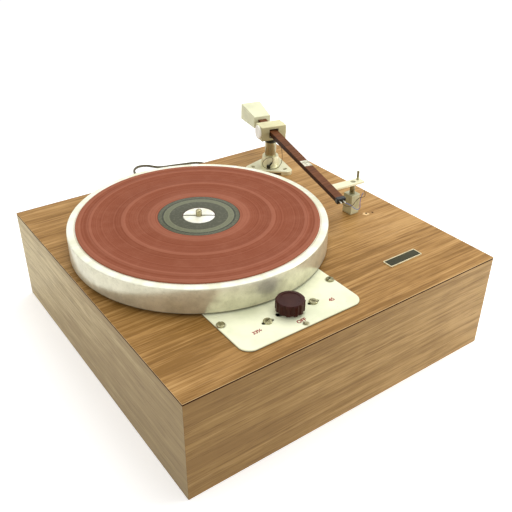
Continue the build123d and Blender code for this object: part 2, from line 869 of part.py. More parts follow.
def motor_bell(flip):
    """One end bell, open towards the stator, with a bearing boss and cooling windows."""
    bore = motor_shaft_radius + running_clearance
    inner = bell_radius - bell_wall
    boss = bell_boss_radius - assembly_clearance
    outline = [(bore, bell_height - 2 * bell_wall), (boss, bell_height - 2 * bell_wall), (boss, bell_height - bell_wall),
               (inner, bell_height - bell_wall), (inner, 0), (bell_radius, 0), (bell_radius, bell_height),
               (bore, bell_height)]
    bell = turned(outline)
    window = Pos(bell_radius, 0, bell_height / 2) * Box(4 * bell_wall, bell_vent_width, bell_vent_height)
    for number in range(bell_vent_count):
        bell -= Rot(0, 0, 360 * (number + 0.5) / bell_vent_count) * window
    if flip:
        return Pos(platter_x, motor_y, stator_low) * Rot(180, 0, 0) * bell
    return Pos(platter_x, motor_y, stator_high) * bell


def motor_bells():
    """Upper and lower end bells."""
    return Compound(children=[motor_bell(False), motor_bell(True)])


def motor_stator():
    """Laminated stack with rounded corners and the rotor's bore."""
    stack = Pos(platter_x, motor_y, stator_low) * extrude(
        RectangleRounded(stator_side, stator_side, stator_corner), stator_height)
    return stack - cylinder_between(rotor_radius + air_gap, stator_low - cut_overrun, stator_high + cut_overrun,
                                    platter_x, motor_y)


def motor_rotor():
    """Rotor core on the motor shaft, which reaches up into the platter."""
    top = deck + pulley_start + pulley_boss_height + 2 * pulley_step_height
    outline = [(0, bell_low - shaft_tail), (motor_shaft_radius, bell_low - shaft_tail), (motor_shaft_radius, stator_low),
               (rotor_radius, stator_low), (rotor_radius, stator_high), (motor_shaft_radius, stator_high),
               (motor_shaft_radius, top), (0, top)]
    return turned(outline, platter_x, motor_y)


def drive_pulley():
    """Stepped pulley: the larger step turns the platter at the higher speed."""
    low = deck + pulley_start
    boss = low + pulley_boss_height
    step = boss + pulley_step_height
    top = step + pulley_step_height
    outline = [(motor_shaft_radius, low), (pulley_boss_radius, low), (pulley_boss_radius, boss), (pulley_fast, boss),
               (pulley_fast, step), (pulley_slow, step), (pulley_slow, top), (motor_shaft_radius, top)]
    return turned(outline, platter_x, motor_y)


def tonearm_stand():
    """Three-cornered foot with a relieved underside, slotted holes and a coned collar for the pillar."""
    corners = [(stand_reach * cos(radians(120 * n)), stand_reach * sin(radians(120 * n))) for n in range(3)]
    outline = make_face(Polyline(*corners, close=True))
    outline = fillet(outline.vertices(), stand_corner)
    foot = extrude(outline, stand_thickness)
    foot = chamfer(foot.faces().sort_by(Axis.Z)[-1].edges(), stand_edge)
    foot -= cylinder_between(stand_relief_radius, -cut_overrun, stand_relief_depth)
    hole_radius = stand_screw_radius + stand_hole_clearance
    hole_length = stand_slot_length - stand_slot_width + 2 * hole_radius
    recess = extrude(SlotOverall(stand_slot_length, stand_slot_width), stand_slot_depth + cut_overrun)
    hole = extrude(SlotOverall(hole_length, 2 * hole_radius), stand_thickness)
    slot = Pos(0, 0, stand_thickness - stand_slot_depth) * recess + hole
    for number in range(3):
        foot -= Rot(0, 0, 120 * number) * Pos(stand_screw_circle, 0, 0) * Rot(0, 0, 90) * slot
    foot = Pos(pillar_x, pillar_y, deck) * Rot(0, 0, stand_turn) * foot
    low = deck + stand_relief_depth
    collar = [(wire_hole_radius - assembly_clearance, low), (collar_base_radius, low), (collar_base_radius, stand_top),
              (collar_top_radius, collar_top), (spigot_radius, collar_top), (spigot_radius, collar_top - spigot_length),
              (wire_hole_radius - assembly_clearance, collar_top - spigot_length)]
    foot -= cylinder_between(wire_hole_radius - assembly_clearance, deck - cut_overrun, collar_top, pillar_x, pillar_y)
    return foot + turned(collar, pillar_x, pillar_y)


def tonearm_stand_screws():
    """Three screws sunk in the stand's slotted holes."""
    seat = stand_top - stand_slot_depth
    screw = slotted_screw(stand_screw_head_radius, stand_screw_head_height, stand_screw_radius, stand_screw_length, 30)
    return Compound(children=[Pos(x, y, seat) * screw for x, y in stand_screw_places()])


def arm_pillar():
    """Turned pillar with a spigot in the collar and a bore for the yaw pin."""
    bore = yaw_pin_radius + running_clearance
    outline = [(bore, collar_top - spigot_length), (spigot_radius, collar_top - spigot_length),
               (spigot_radius, collar_top), (pillar_radius, collar_top), (pillar_radius, pillar_high),
               (bore, pillar_high)]
    return turned(outline, pillar_x, pillar_y)


def yaw_bearing():
    """Black bearing collar between pillar and housing."""
    bore = yaw_pin_radius + running_clearance
    outline = [(bore, pillar_high), (washer_radius, pillar_high), (washer_radius, washer_high), (bore, washer_high)]
    return turned(outline, pillar_x, pillar_y)


def yaw_pin():
    """Upright pin under the housing that turns in the pillar."""
    return cylinder_between(yaw_pin_radius, housing_low - yaw_pin_length, housing_low, pillar_x, pillar_y)


def signal_connector():
    """Small black connector on the collar's front with its plugged pin leaning up."""
    turn = radians(connector_turn)
    distance = collar_base_radius + connector_depth / 2 + end_clearance
    middle = Pos(pillar_x + distance * cos(turn), pillar_y + distance * sin(turn), stand_top + connector_size / 2)
    base = middle * Rot(0, 0, connector_turn) * Box(connector_depth, connector_size, connector_size)
    pin = Pos(0, 0, connector_pin_length / 2) * Cylinder(connector_pin_radius, connector_pin_length)
    return base + middle * Rot(0, 0, connector_lean_turn) * Rot(0, connector_lean, 0) * pin


def bearing_housing():
    """Box-shaped bearing housing with a window for the arm and bores for the pivot caps' pins."""
    height = deck + housing_top - housing_low
    body = Pos(0, 0, housing_low + height / 2) * Box(housing_depth, housing_width, height)
    body = chamfer(body.edges(), housing_edge)
    low = deck + window_low
    high = deck + window_high
    body -= Pos(0, 0, (low + high) / 2) * Box(2 * housing_depth, window_width, high - low)
    bore = Rot(90, 0, 0) * Cylinder(pivot_pin_radius, 2 * housing_width)
    return yoke_frame * (body - Pos(0, 0, pivot_z) * bore)


def pivot_caps():
    """Round caps on the housing's sides, whose pins carry the arm."""
    tip = arm_width / 2 - pivot_pin_bite
    caps = []
    for side in (-1, 1):
        disc = Cylinder(cap_radius, cap_thickness)
        disc = chamfer(disc.edges().sort_by(Axis.Z)[-1], cap_edge)
        length = housing_width / 2 - tip
        pin = Pos(0, 0, -cap_thickness / 2 - length / 2) * Cylinder(pivot_pin_radius, length)
        cap = Pos(0, 0, cap_thickness / 2) * (disc + pin)
        turned_out = Pos(0, side * housing_width / 2, pivot_z) * Rot(-90 * side, 0, 0) * cap
        caps.append(yoke_frame * turned_out)
    return Compound(children=caps)


def arm_section(along, width, height):
    """Cross-section of the arm at a distance along it."""
    return Plane(origin=(along, 0, 0), x_dir=(0, 1, 0), z_dir=(1, 0, 0)) * Rectangle(width, height)


def arm_beam():
    """Wooden arm: a straight tail and a slender taper to the head."""
    tail = loft([arm_section(-arm_tail, arm_width, arm_height), arm_section(0, arm_width, arm_height)])
    reach = loft([arm_section(0, arm_width, arm_height), arm_section(arm_length, arm_tip_width, arm_tip_height)])
    beam = tail + reach
    long_edges = beam.edges().filter_by(lambda edge: edge.length > arm_tail - cut_overrun)
    beam = chamfer(long_edges, arm_edge)
    depth = pivot_pin_bite + running_clearance
    for side in (-1, 1):
        hole = Pos(0, side * (arm_width / 2 - depth / 2), 0) * Rot(90, 0, 0) * Cylinder(
            pivot_pin_radius + running_clearance, depth)
        beam -= hole
    return arm_frame * beam


def arm_plate():
    """Blank silver plate let onto the arm's top."""
    middle = arm_plate_from + arm_plate_length / 2
    width = arm_width + (arm_tip_width - arm_width) * middle / arm_length - 2 * arm_plate_margin
    slope = degrees((arm_height - arm_tip_height) / 2 / arm_length)
    plate = Rot(0, slope, 0) * Pos(0, 0, arm_plate_thickness / 2) * Box(arm_plate_length, width, arm_plate_thickness)
    return arm_frame * Pos(middle, 0, arm_half_height(middle)) * plate


def head_cap():
    """Black cap over the arm's end."""
    body = Box(head_cap_length, head_cap_width, head_cap_height)
    body = fillet(body.edges(), head_cap_edge)
    return arm_frame * Pos(arm_length + head_cap_length / 2, 0, 0) * body


def contact_pins():
    """Two contact pins in the cap's face."""
    start = arm_length + head_cap_length
    pins = []
    for side in (-1, 1):
        pin = Rot(0, 90, 0) * Cylinder(contact_radius, contact_length)
        pins.append(arm_frame * Pos(start + contact_length / 2, side * contact_half_spacing, 0) * pin)
    return Compound(children=pins)


def weight_form(inset, drop):
    """The weight's wedge, drawn in by an inset and lowered past its open underside by a drop."""
    front_height = weight_front_height - inset + drop
    rear_height = weight_rear_height - inset + drop
    lowered = Pos(0, 0, -(inset + drop) / 2)
    front = lowered * arm_section(inset - weight_from - 2 * inset, weight_front_width - 2 * inset, front_height)
    rear = lowered * arm_section(inset - weight_from - weight_length, weight_rear_width - 2 * inset, rear_height)
    return loft([rear, front])


def counterweight():
    """Wedge-shaped weight cover, wider and higher at the rear and open below, on the arm's tail."""
    body = weight_form(0, 0)
    body = chamfer(body.faces().sort_by(Axis.Z)[-1].edges(), weight_edge)
    body -= weight_form(weight_wall, cut_overrun)
    pocket = block_between(-arm_tail, cut_overrun - weight_from, -arm_width / 2, arm_width / 2,
                           -arm_height / 2, arm_height / 2)
    return arm_frame * (body - pocket)


def rest_block():
    """Square block of the arm rest, bored for its rod."""
    body = Box(rest_block_width, rest_block_depth, rest_block_height)
    body = chamfer(body.edges(), rest_block_edge)
    body = Pos(rest_x, rest_y, deck + rest_block_height / 2) * body
    high = deck + rest_block_height
    low = high - rest_rod_grip - rest_travel - assembly_clearance
    bore = rest_rod_radius + running_clearance
    return body - cylinder_between(bore, low, high + cut_overrun, rest_x, rest_y)


def rest_rod():
    """Round rod that slides in the block and carries the bar."""
    low = deck + rest_block_height - rest_rod_grip
    return cylinder_between(rest_rod_radius, low, bar_top, rest_x, rest_y)


def rest_bar():
    """Flat bar that the arm lies on."""
    middle = (bar_right - bar_left) / 2
    bar = Box(bar_left + bar_right, bar_width, bar_thickness)
    bar = Pos(middle, 0, 0) * chamfer(bar.edges(), bar_edge)
    bar -= Cylinder(rest_rod_radius, 2 * bar_thickness)
    return Pos(rest_x, rest_y, (bar_top + bar_low) / 2) * Rot(0, 0, bar_turn) * bar


def rest_pin():
    """Upright pin at the bar's outer end that keeps the arm from sliding off."""
    pin = cylinder_between(rest_pin_radius, bar_top, bar_top + rest_pin_height)
    pin = chamfer(pin.edges().sort_by(Axis.Z)[-1], rest_pin_edge)
    return Pos(rest_x, rest_y, 0) * Rot(0, 0, bar_turn) * Pos(rest_pin_x, rest_pin_y, 0) * pin


def mains_gland():
    """Gland in the back panel with a tapered strain relief."""
    bore = cord_diameter / 2
    outside = gland_flange + relief_length
    outline = [(bore, -panel_thickness), (gland_barrel_radius, -panel_thickness), (gland_barrel_radius, 0),
               (gland_flange_radius, 0), (gland_flange_radius, gland_flange), (relief_root_radius, gland_flange),
               (relief_tip_radius, outside), (bore, outside)]
    return Pos(exit_x, plinth_depth / 2, exit_height) * Rot(-90, 0, 0) * turned(outline)


def fillet_radii(points):
    """Radius of each corner of a cord's route: 0.45 of the shorter run over the tangent of half the turn."""
    run_share = 0.45
    radii = []
    for before, here, after in zip(points, points[1:], points[2:]):
        arriving = Vector(*here) - Vector(*before)
        leaving = Vector(*after) - Vector(*here)
        turn = radians(arriving.get_angle(leaving))
        radii.append(run_share * min(arriving.length, leaving.length) / tan(turn / 2))
    return radii


def cord_tube(name, points, diameter):
    """Round cord along a route of straight runs joined by tangent arcs, with its volume compared."""
    radii = fillet_radii(points)
    path = FilletPolyline(*points, radius=radii)
    start = Plane(origin=path @ 0, z_dir=path % 0)
    tube = sweep(start * Circle(diameter / 2), path=path)
    expected = pi * diameter ** 2 / 4 * path.length
    print(name, "length", round(path.length, 1), "smallest radius", round(min(radii), 1),
          "volume ratio", round(tube.volume / expected, 4), "radii", [round(value) for value in radii])
    return tube


# Mains lead: real places on the surface behind the box, chosen to follow the stretches that show there
cord_z = cord_diameter / 2
coil_outer = coil_mean_radius + coil_pitch * coil_turns / 2
coil_entry = (coil_x + coil_outer, coil_y + cord_diameter, cord_z)
lead_start = (exit_x, plinth_depth / 2 + gland_flange + relief_length, exit_height)
lead_points = [
    lead_start,
    (exit_x, 262, 26), (131, 282, 17), (134, 303, 6), (140, 327, cord_z), (156, 350, cord_z),
    (178, 372, cord_z), (200, 397, cord_z), (216, 424, cord_z), (219, 446, cord_z), (207, 461, cord_z),
    (184, 467, cord_z), (161, 474, cord_z), (139, 479, cord_z), (129, 489, cord_z), (121, 502, cord_z),
    (105, 508, cord_z), (91, 499, cord_z), (84, 480, cord_z), (84, 455, cord_z), (90, 426, cord_z),
    (91, 397, cord_z), (82, 370, cord_z), (coil_entry[0], 347, cord_z), coil_entry,
]


def coil_station(turn_number):
    """Point and direction of the put-away coil after a number of turns: in on the table, out on top."""
    from_middle = turn_number - coil_turns
    radius = coil_outer - coil_pitch * (coil_turns - abs(from_middle))
    slope = coil_pitch * (from_middle > 0) - coil_pitch * (from_middle < 0)
    climbed = min(max(from_middle / coil_climb_turns + 0.5, 0), 1)
    climb = coil_layer_rise / coil_climb_turns * (from_middle == 0)
    angle = -2 * pi * turn_number
    point = Vector(coil_x + radius * cos(angle), coil_y + radius * sin(angle), cord_z + coil_layer_rise * climbed)
    direction = Vector(slope * cos(angle) + 2 * pi * radius * sin(angle),
                       slope * sin(angle) - 2 * pi * radius * cos(angle), climb)
    return point, direction.normalized()


def biarc(start, start_direction, end, end_direction):
    """Two tangent arcs between two points with given directions."""
    across = end - start
    total = start_direction + end_direction
    square = total.dot(total) - 4
    linear = -2 * across.dot(total)
    constant = across.dot(across)
    if start_direction.dot(end_direction) > same_direction_cosine:
        reach = -constant / linear
    else:
        root = sqrt(linear ** 2 - 4 * square * constant)
        reach = max((-linear + root) / (2 * square), (-linear - root) / (2 * square))
    first_corner = start + start_direction * reach
    last_corner = end - end_direction * reach
    join = (first_corner + last_corner) / 2
    join_direction = (last_corner - first_corner).normalized()
    return [TangentArc(start, join, tangent=start_direction), TangentArc(join, end, tangent=join_direction)]


def plug_seat():
    """Where the plug's neck meets the coil's end."""
    return Vector(coil_x + coil_outer + coil_lead_shift, coil_y - coil_lead_length, plug_body_radius)


def coil_path():
    """The coil's line: a straight end, biarcs of a quarter turn, a run out to the plug and a straight end."""
    to_back = Vector(0, -1, 0)
    stations = [coil_station(number / 4) for number in range(8 * coil_turns + 1)]
    stations[0] = (stations[0][0], to_back)
    neck = plug_seat() - to_back * cord_diameter
    stations[-1] = (stations[-1][0], to_back)
    stations.append((neck, to_back))
    edges = [Line(Vector(*coil_entry), stations[0][0])]
    for (start, start_direction), (end, end_direction) in zip(stations, stations[1:]):
        edges += biarc(start, start_direction, end, end_direction)
    edges.append(Line(neck, plug_seat()))
    return Wire(edges)


def mains_coil():
    """Put-away coil of the lead: two layers of turns as one unbroken tube."""
    path = coil_path()
    start = Plane(origin=path @ 0, z_dir=path % 0)
    tube = sweep(start * Circle(cord_diameter / 2), path=path)
    samples = [path @ (number / 1200) for number in range(1201)]
    step = path.length / 1200
    skip = int(2 * cord_diameter / step) + 1
    least = min((a - b).length for index, a in enumerate(samples) for b in samples[index + skip:])
    print("mains_coil length", round(path.length, 1), "least gap to itself", round(least - cord_diameter, 2),
          "volume ratio", round(tube.volume / (pi * cord_diameter ** 2 / 4 * path.length), 4))
    return tube


def mains_plug():
    """Two-bladed plug lying beside the coil, on the lead's end."""
    shoulder = plug_neck_length + plug_edge
    face = plug_neck_length + plug_body_length
    plug = turned([(0, 0), (plug_neck_radius, 0), (plug_neck_radius + plug_edge, plug_neck_length),
                   (plug_body_radius, shoulder), (plug_body_radius, face - plug_edge),
                   (plug_body_radius - plug_edge, face), (0, face)])
    for side in (-1, 1):
        plug += Pos(side * blade_half_spacing, 0, face + blade_length / 2) * Box(
            blade_thickness, blade_width, blade_length)
    seat = plug_seat()
    return Pos(seat.X, seat.Y - plug_gap, seat.Z) * Rot(90, 0, 0) * plug


# Two stiff leads that hang from the head's contact pins with free ends, and the tonearm's own wire
blue_wire_points = [
    (100.0, -71.7, 167.7), (100.4, -75.4, 168.2), (103.2, -78.6, 166.2), (106.0, -81.0, 162.8), (109.2, -83.3, 160.8),
    (111.9, -85.0, 163.4), (110.8, -84.3, 170.6), (111.6, -84.9, 178.6), (113.3, -86.0, 183.6),
]
brown_wire_points = [
    (95.3, -70.9, 167.7), (95.8, -74.8, 167.0), (99.2, -78.4, 165.6), (103.6, -81.2, 168.0), (105.6, -82.6, 173.4),
    (109.0, -85.0, 178.4), (113.4, -88.0, 178.4), (114.6, -88.8, 183.0), (112.6, -87.6, 188.0),
]
arm_wire_points = [
    (138.8, 125.9, 139.5), (139.6, 124.6, 144.6), (135.8, 123.4, 149.4), (129.4, 127.4, 148.0), (124.6, 130.8, 141.6),
    (125.2, 130.2, 135.2), (130.0, 126.4, 131.4), (136.2, 121.8, 130.9), (142.0, 117.6, 132.4), (146.4, 114.8, 138.6),
    (147.6, 113.8, 148.0), (147.2, 114.2, 158.0), (145.6, 115.4, 167.5), (144.2, 116.2, 176.4),
]


def head_wires():
    """The two loose leads at the head."""
    return Compound(children=[cord_tube("head_wire_blue", blue_wire_points, wire_diameter),
                              cord_tube("head_wire_brown", brown_wire_points, wire_diameter)])


SUBPARTS = {
    "plinth_front": front_panel,
    "plinth_back": back_panel,
    "plinth_left": lambda: side_panel(-1),
    "plinth_right": lambda: side_panel(1),
    "top_board": top_board,
    "base_board": base_board,
    "glue_blocks": glue_blocks,
    "deck_plate": deck_plate,
    "deck_screws": deck_screws,
    "deck_rivet": deck_rivet,
    "badge_plate": badge_plate,
    "bearing_well": bearing_well,
    "bearing_bushes": bearing_bushes,
    "thrust_ball": thrust_ball,
    "spindle_shaft": spindle_shaft,
    "platter": platter,
    "platter_mat": platter_mat,
    "strobe_label": strobe_label,
    "hub_45": hub_45,
    "speed_knob": speed_knob,
    "selector_rocker": selector_rocker,
    "rocker_stud": rocker_stud,
    "idler_axles": idler_axles,
    "idler_33_wheel": lambda: idler_wheel(slow_idler, slow_level),
    "idler_33_tyre": lambda: idler_tyre(slow_idler, slow_level),
    "idler_45_wheel": lambda: idler_wheel(fast_idler, fast_level),
    "idler_45_tyre": lambda: idler_tyre(fast_idler, fast_level),
    "power_switch": power_switch,
    "switch_slider": switch_slider,
    "motor_screws": motor_screws,
    "motor_posts": motor_posts,
    "motor_grommets": motor_grommets,
    "motor_plate": motor_plate,
    "motor_bells": motor_bells,
    "motor_stator": motor_stator,
    "motor_rotor": motor_rotor,
    "drive_pulley": drive_pulley,
    "tonearm_stand": tonearm_stand,
    "tonearm_stand_screws": tonearm_stand_screws,
    "arm_pillar": arm_pillar,
    "yaw_bearing": yaw_bearing,
    "yaw_pin": yaw_pin,
    "signal_connector": signal_connector,
    "bearing_housing": bearing_housing,
    "pivot_caps": pivot_caps,
    "arm_beam": arm_beam,
    "arm_plate": arm_plate,
    "head_cap": head_cap,
    "contact_pins": contact_pins,
    "counterweight": counterweight,
    "rest_block": rest_block,
    "rest_rod": rest_rod,
    "rest_bar": rest_bar,
    "rest_pin": rest_pin,
    "mains_gland": mains_gland,
    "mains_lead": lambda: cord_tube("mains_lead", lead_points, cord_diameter),
    "mains_coil": mains_coil,
    "mains_plug": mains_plug,
    "head_wires": head_wires,
    "arm_wire": lambda: cord_tube("arm_wire", arm_wire_points, wire_diameter),
}

for node, build in SUBPARTS.items():
    export_step(build(), "parts/" + node + ".step")
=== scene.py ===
"""Looks of an idler-drive turntable: veneered box, deck plate, cast platter, wooden tonearm and mains lead.

Lengths are in metres in the part's own frame: +X to the right along the front, +Y to the back, +Z up.
"""

import json
import logging
import math
from dataclasses import dataclass, replace
from enum import Enum
from typing import Iterable, Sequence

import bpy
from mathutils import Matrix, Vector

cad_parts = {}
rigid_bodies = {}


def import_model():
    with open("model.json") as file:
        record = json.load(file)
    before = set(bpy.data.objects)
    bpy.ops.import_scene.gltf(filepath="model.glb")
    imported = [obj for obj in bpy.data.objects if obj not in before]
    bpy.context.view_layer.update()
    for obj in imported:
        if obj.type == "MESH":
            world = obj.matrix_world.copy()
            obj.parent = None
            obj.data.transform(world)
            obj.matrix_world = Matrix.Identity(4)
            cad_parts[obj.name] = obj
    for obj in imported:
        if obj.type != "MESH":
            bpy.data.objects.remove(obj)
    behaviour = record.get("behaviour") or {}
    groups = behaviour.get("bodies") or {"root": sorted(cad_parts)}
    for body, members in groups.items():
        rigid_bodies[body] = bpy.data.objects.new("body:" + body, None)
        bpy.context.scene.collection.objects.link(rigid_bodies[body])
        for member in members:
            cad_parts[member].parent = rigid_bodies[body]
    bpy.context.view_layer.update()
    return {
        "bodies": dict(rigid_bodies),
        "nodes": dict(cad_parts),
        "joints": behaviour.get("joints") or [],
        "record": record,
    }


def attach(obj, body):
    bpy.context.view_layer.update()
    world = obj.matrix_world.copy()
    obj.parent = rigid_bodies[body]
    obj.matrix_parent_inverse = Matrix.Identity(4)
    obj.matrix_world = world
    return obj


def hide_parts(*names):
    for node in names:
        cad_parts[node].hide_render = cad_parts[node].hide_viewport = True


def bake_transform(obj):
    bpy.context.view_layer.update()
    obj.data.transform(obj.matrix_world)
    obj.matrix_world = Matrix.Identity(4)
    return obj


LOG = logging.getLogger("turntable")
Colour = tuple[float, float, float, float]
Point = tuple[float, float, float]
Pairs = tuple[tuple[float, float], ...]
Socket = bpy.types.NodeSocket
Source = Socket | float | Sequence[float]
Piece = bpy.types.Object
Material = bpy.types.Material
WHITE = (1.0, 1.0, 1.0, 1.0)


def chip(red: int, green: int, blue: int) -> Colour:
    """Colour of a paint chip read in 0 to 255 steps, as linear light with a full alpha."""
    linear = [(step / 255) ** 2.2 for step in (red, green, blue)]
    return linear[0], linear[1], linear[2], 1.0


def metres(route: Iterable[Point]) -> list[Point]:
    """Points given in millimetres, in metres."""
    return [(0.001 * x, 0.001 * y, 0.001 * z) for x, y, z in route]


class Grain(Enum):
    """The way that a board's grain runs."""

    ALONG_X = (1.0, 30.0, 30.0)
    ALONG_Y = (30.0, 1.0, 30.0)


class Wiring:
    """Node tree that is laid out and wired by hand."""

    def __init__(self, tree: bpy.types.NodeTree) -> None:
        """Starts on a tree."""
        self.tree = tree

    def join(self, source: Source, socket: Socket) -> None:
        """Wires an output to an input, or sets the input to a plain value.

        Args:
            source: the output or the value.
            socket: the input.
        """
        if isinstance(source, Socket):
            self.tree.links.new(source, socket)
        else:
            socket.default_value = source

    def node(self, kind: str, *sources: Source, sockets: dict[str, Source] | None = None,
             **options: object) -> bpy.types.Node:
        """Adds a node.

        Args:
            kind: its type.
            *sources: what its first inputs get, in order.
            sockets: what inputs get by name.
            **options: its own options.

        Returns:
            The node.
        """
        made = self.tree.nodes.new("ShaderNode" + kind)
        for key, value in options.items():
            setattr(made, key, value)
        for source, socket in zip(sources, made.inputs):
            self.join(source, socket)
        for key, source in (sockets or {}).items():
            self.join(source, made.inputs[key])
        return made

    def sum(self, operation: str, *terms: Source) -> Socket:
        """Result of a Math node."""
        return self.node("Math", *terms, operation=operation).outputs[0]

    def either(self, share: Source, first: Socket, second: Socket) -> Socket:
        """Two shaders mixed by a share."""
        return self.node("MixShader", share, first, second).outputs[0]


class Bench(Wiring):
    """One material's nodes, and the colour painted on it so far."""

    def __init__(self, name: str) -> None:
        """Starts a material with a Principled shader.

        Args:
            name: the material's name.
        """
        self.material = bpy.data.materials.new(name)
        self.material.use_nodes = True
        super().__init__(self.material.node_tree)
        self.shader = self.tree.nodes["Principled BSDF"]
        coordinates = self.node("TexCoord")
        self.place = coordinates.outputs["Object"]
        self.normal = coordinates.outputs["Normal"]
        self.colour: Source = WHITE

    def stretched(self, scale: Point, shift: Point = (0.0, 0.0, 0.0), turn: float = 0.0) -> Socket:
        """Object coordinates stretched and turned about Z, with a shift added."""
        return self.node("Mapping", self.place, shift, (0.0, 0.0, turn), scale).outputs["Vector"]

    def noise(self, vector: Source, scale: float, detail: float = 4.0, rough: float = 0.55,
              warp: float = 0.0) -> Socket:
        """Noise of a given scale over some coordinates."""
        settings = {"Scale": scale, "Detail": detail, "Roughness": rough, "Distortion": warp}
        return self.node("TexNoise", vector, sockets=settings).outputs["Fac"]

    def specks(self, scale: float, reach: float) -> Socket:
        """One inside small round specks scattered over the surface, and zero elsewhere."""
        cells = self.node("TexVoronoi", self.place, sockets={"Scale": scale})
        return self.sum("LESS_THAN", cells.outputs["Distance"], reach)

    def plus(self, first: Source, *others: Source) -> Source:
        """Sum of numbers.

        Args:
            first: the first number.
            *others: the others, added in order.

        Returns:
            The sum.
        """
        for other in others:
            first = self.sum("ADD", first, other)
        return first

    def times(self, first: Source, second: Source) -> Socket:
        """Product of two numbers."""
        return self.sum("MULTIPLY", first, second)

    def scaled(self, value: Source, factor: Source, offset: Source) -> Socket:
        """Value times a factor, plus an offset."""
        return self.sum("MULTIPLY_ADD", value, factor, offset)

    def span(self, value: Source, low: float, high: float) -> Socket:
        """Zero to one as a value goes from low to high, held at both ends."""
        return self.node("MapRange", value, low, high, clamp=True).outputs["Result"]

    def band(self, value: Source, low: float, high: float, soft: float) -> Socket:
        """One between two values and zero outside, with soft shoulders."""
        rise = self.span(value, low - soft, low + soft)
        return self.sum("SUBTRACT", rise, self.span(value, high - soft, high + soft))

    def ramp(self, value: Source, *stops: tuple[float, Colour]) -> Socket:
        """Colour read off a ramp.

        Args:
            value: where it is read.
            *stops: positions and their colours.

        Returns:
            The colour.
        """
        made = self.node("ValToRGB", value)
        elements = made.color_ramp.elements
        while len(elements) < len(stops):
            elements.new(0.5)
        for element, (position, colour) in zip(elements, stops):
            element.position = position
            element.color = colour
        return made.outputs["Color"]

    def blend(self, share: Source, under: Source, over: Source) -> Socket:
        """Two colours mixed by a share.

        Args:
            share: share of the second.
            under: the first colour.
            over: the second colour.

        Returns:
            The mixed colour.
        """
        made = self.node("Mix", share, data_type="RGBA")
        self.join(under, made.inputs[6])
        self.join(over, made.inputs[7])
        return made.outputs[2]

    def paint(self, over: Source, share: Source, strength: float = 1.0) -> None:
        """Lays a colour over what is painted so far, by a share times a strength."""
        self.colour = self.blend(share if strength == 1.0 else self.times(share, strength), self.colour, over)

    def axis(self, index: int, vector: Source | None = None) -> Socket:
        """One of the three numbers of a vector, which is the place unless it is given."""
        return self.node("SeparateXYZ", self.place if vector is None else vector).outputs[index]

    def facing_up(self, low: float, high: float) -> Socket:
        """Zero to one as the surface's upward share goes from low to high."""
        return self.span(self.axis(2, self.normal), low, high)

    def distance(self, x: float, y: float) -> Socket:
        """Distance from an upright axis."""
        flat = self.stretched((1.0, 1.0, 0.0), (-x, -y, 0.0))
        return self.node("VectorMath", flat, operation="LENGTH").outputs["Value"]

    def bearing(self, x: float, y: float) -> Socket:
        """Angle about an upright axis, in radians."""
        moved = self.stretched((1.0, 1.0, 1.0), (-x, -y, 0.0))
        return self.sum("ARCTAN2", self.axis(1, moved), self.axis(0, moved))

    def joined(self, first: Source, second: Source, third: Source) -> Socket:
        """Vector put together from three numbers."""
        return self.node("CombineXYZ", first, second, third).outputs[0]

    def relief(self, height: Source, depth: float, strength: float) -> None:
        """Bumps the shader's normal by a height of the given depth in metres."""
        made = self.node("Bump", sockets={"Strength": strength, "Distance": depth, "Height": height})
        self.join(made.outputs["Normal"], self.shader.inputs["Normal"])

    def surface(self, rough: Source, metallic: float = 0.0, **extra: float) -> None:
        """Sets the shader's sockets, with the colour painted so far.

        Args:
            rough: roughness or the socket that gives it.
            metallic: share of metal.
            **extra: other sockets by their names with underscores.
        """
        self.join(self.colour, self.shader.inputs["Base Color"])
        self.join(rough, self.shader.inputs["Roughness"])
        self.shader.inputs["Metallic"].default_value = metallic
        for key, value in extra.items():
            self.shader.inputs[key.replace("_", " ")].default_value = value


@dataclass(frozen=True)
class Finish:
    """Finish of a surface, which wires a material of its name."""

    name: str

    def make(self) -> Material:
        """Makes the material.

        Returns:
            The material.
        """
        bench = Bench(self.name)
        self.wire(bench)
        return bench.material

    def wire(self, bench: Bench) -> None:
        """Wires the material's nodes."""
        raise NotImplementedError(bench.material.name)


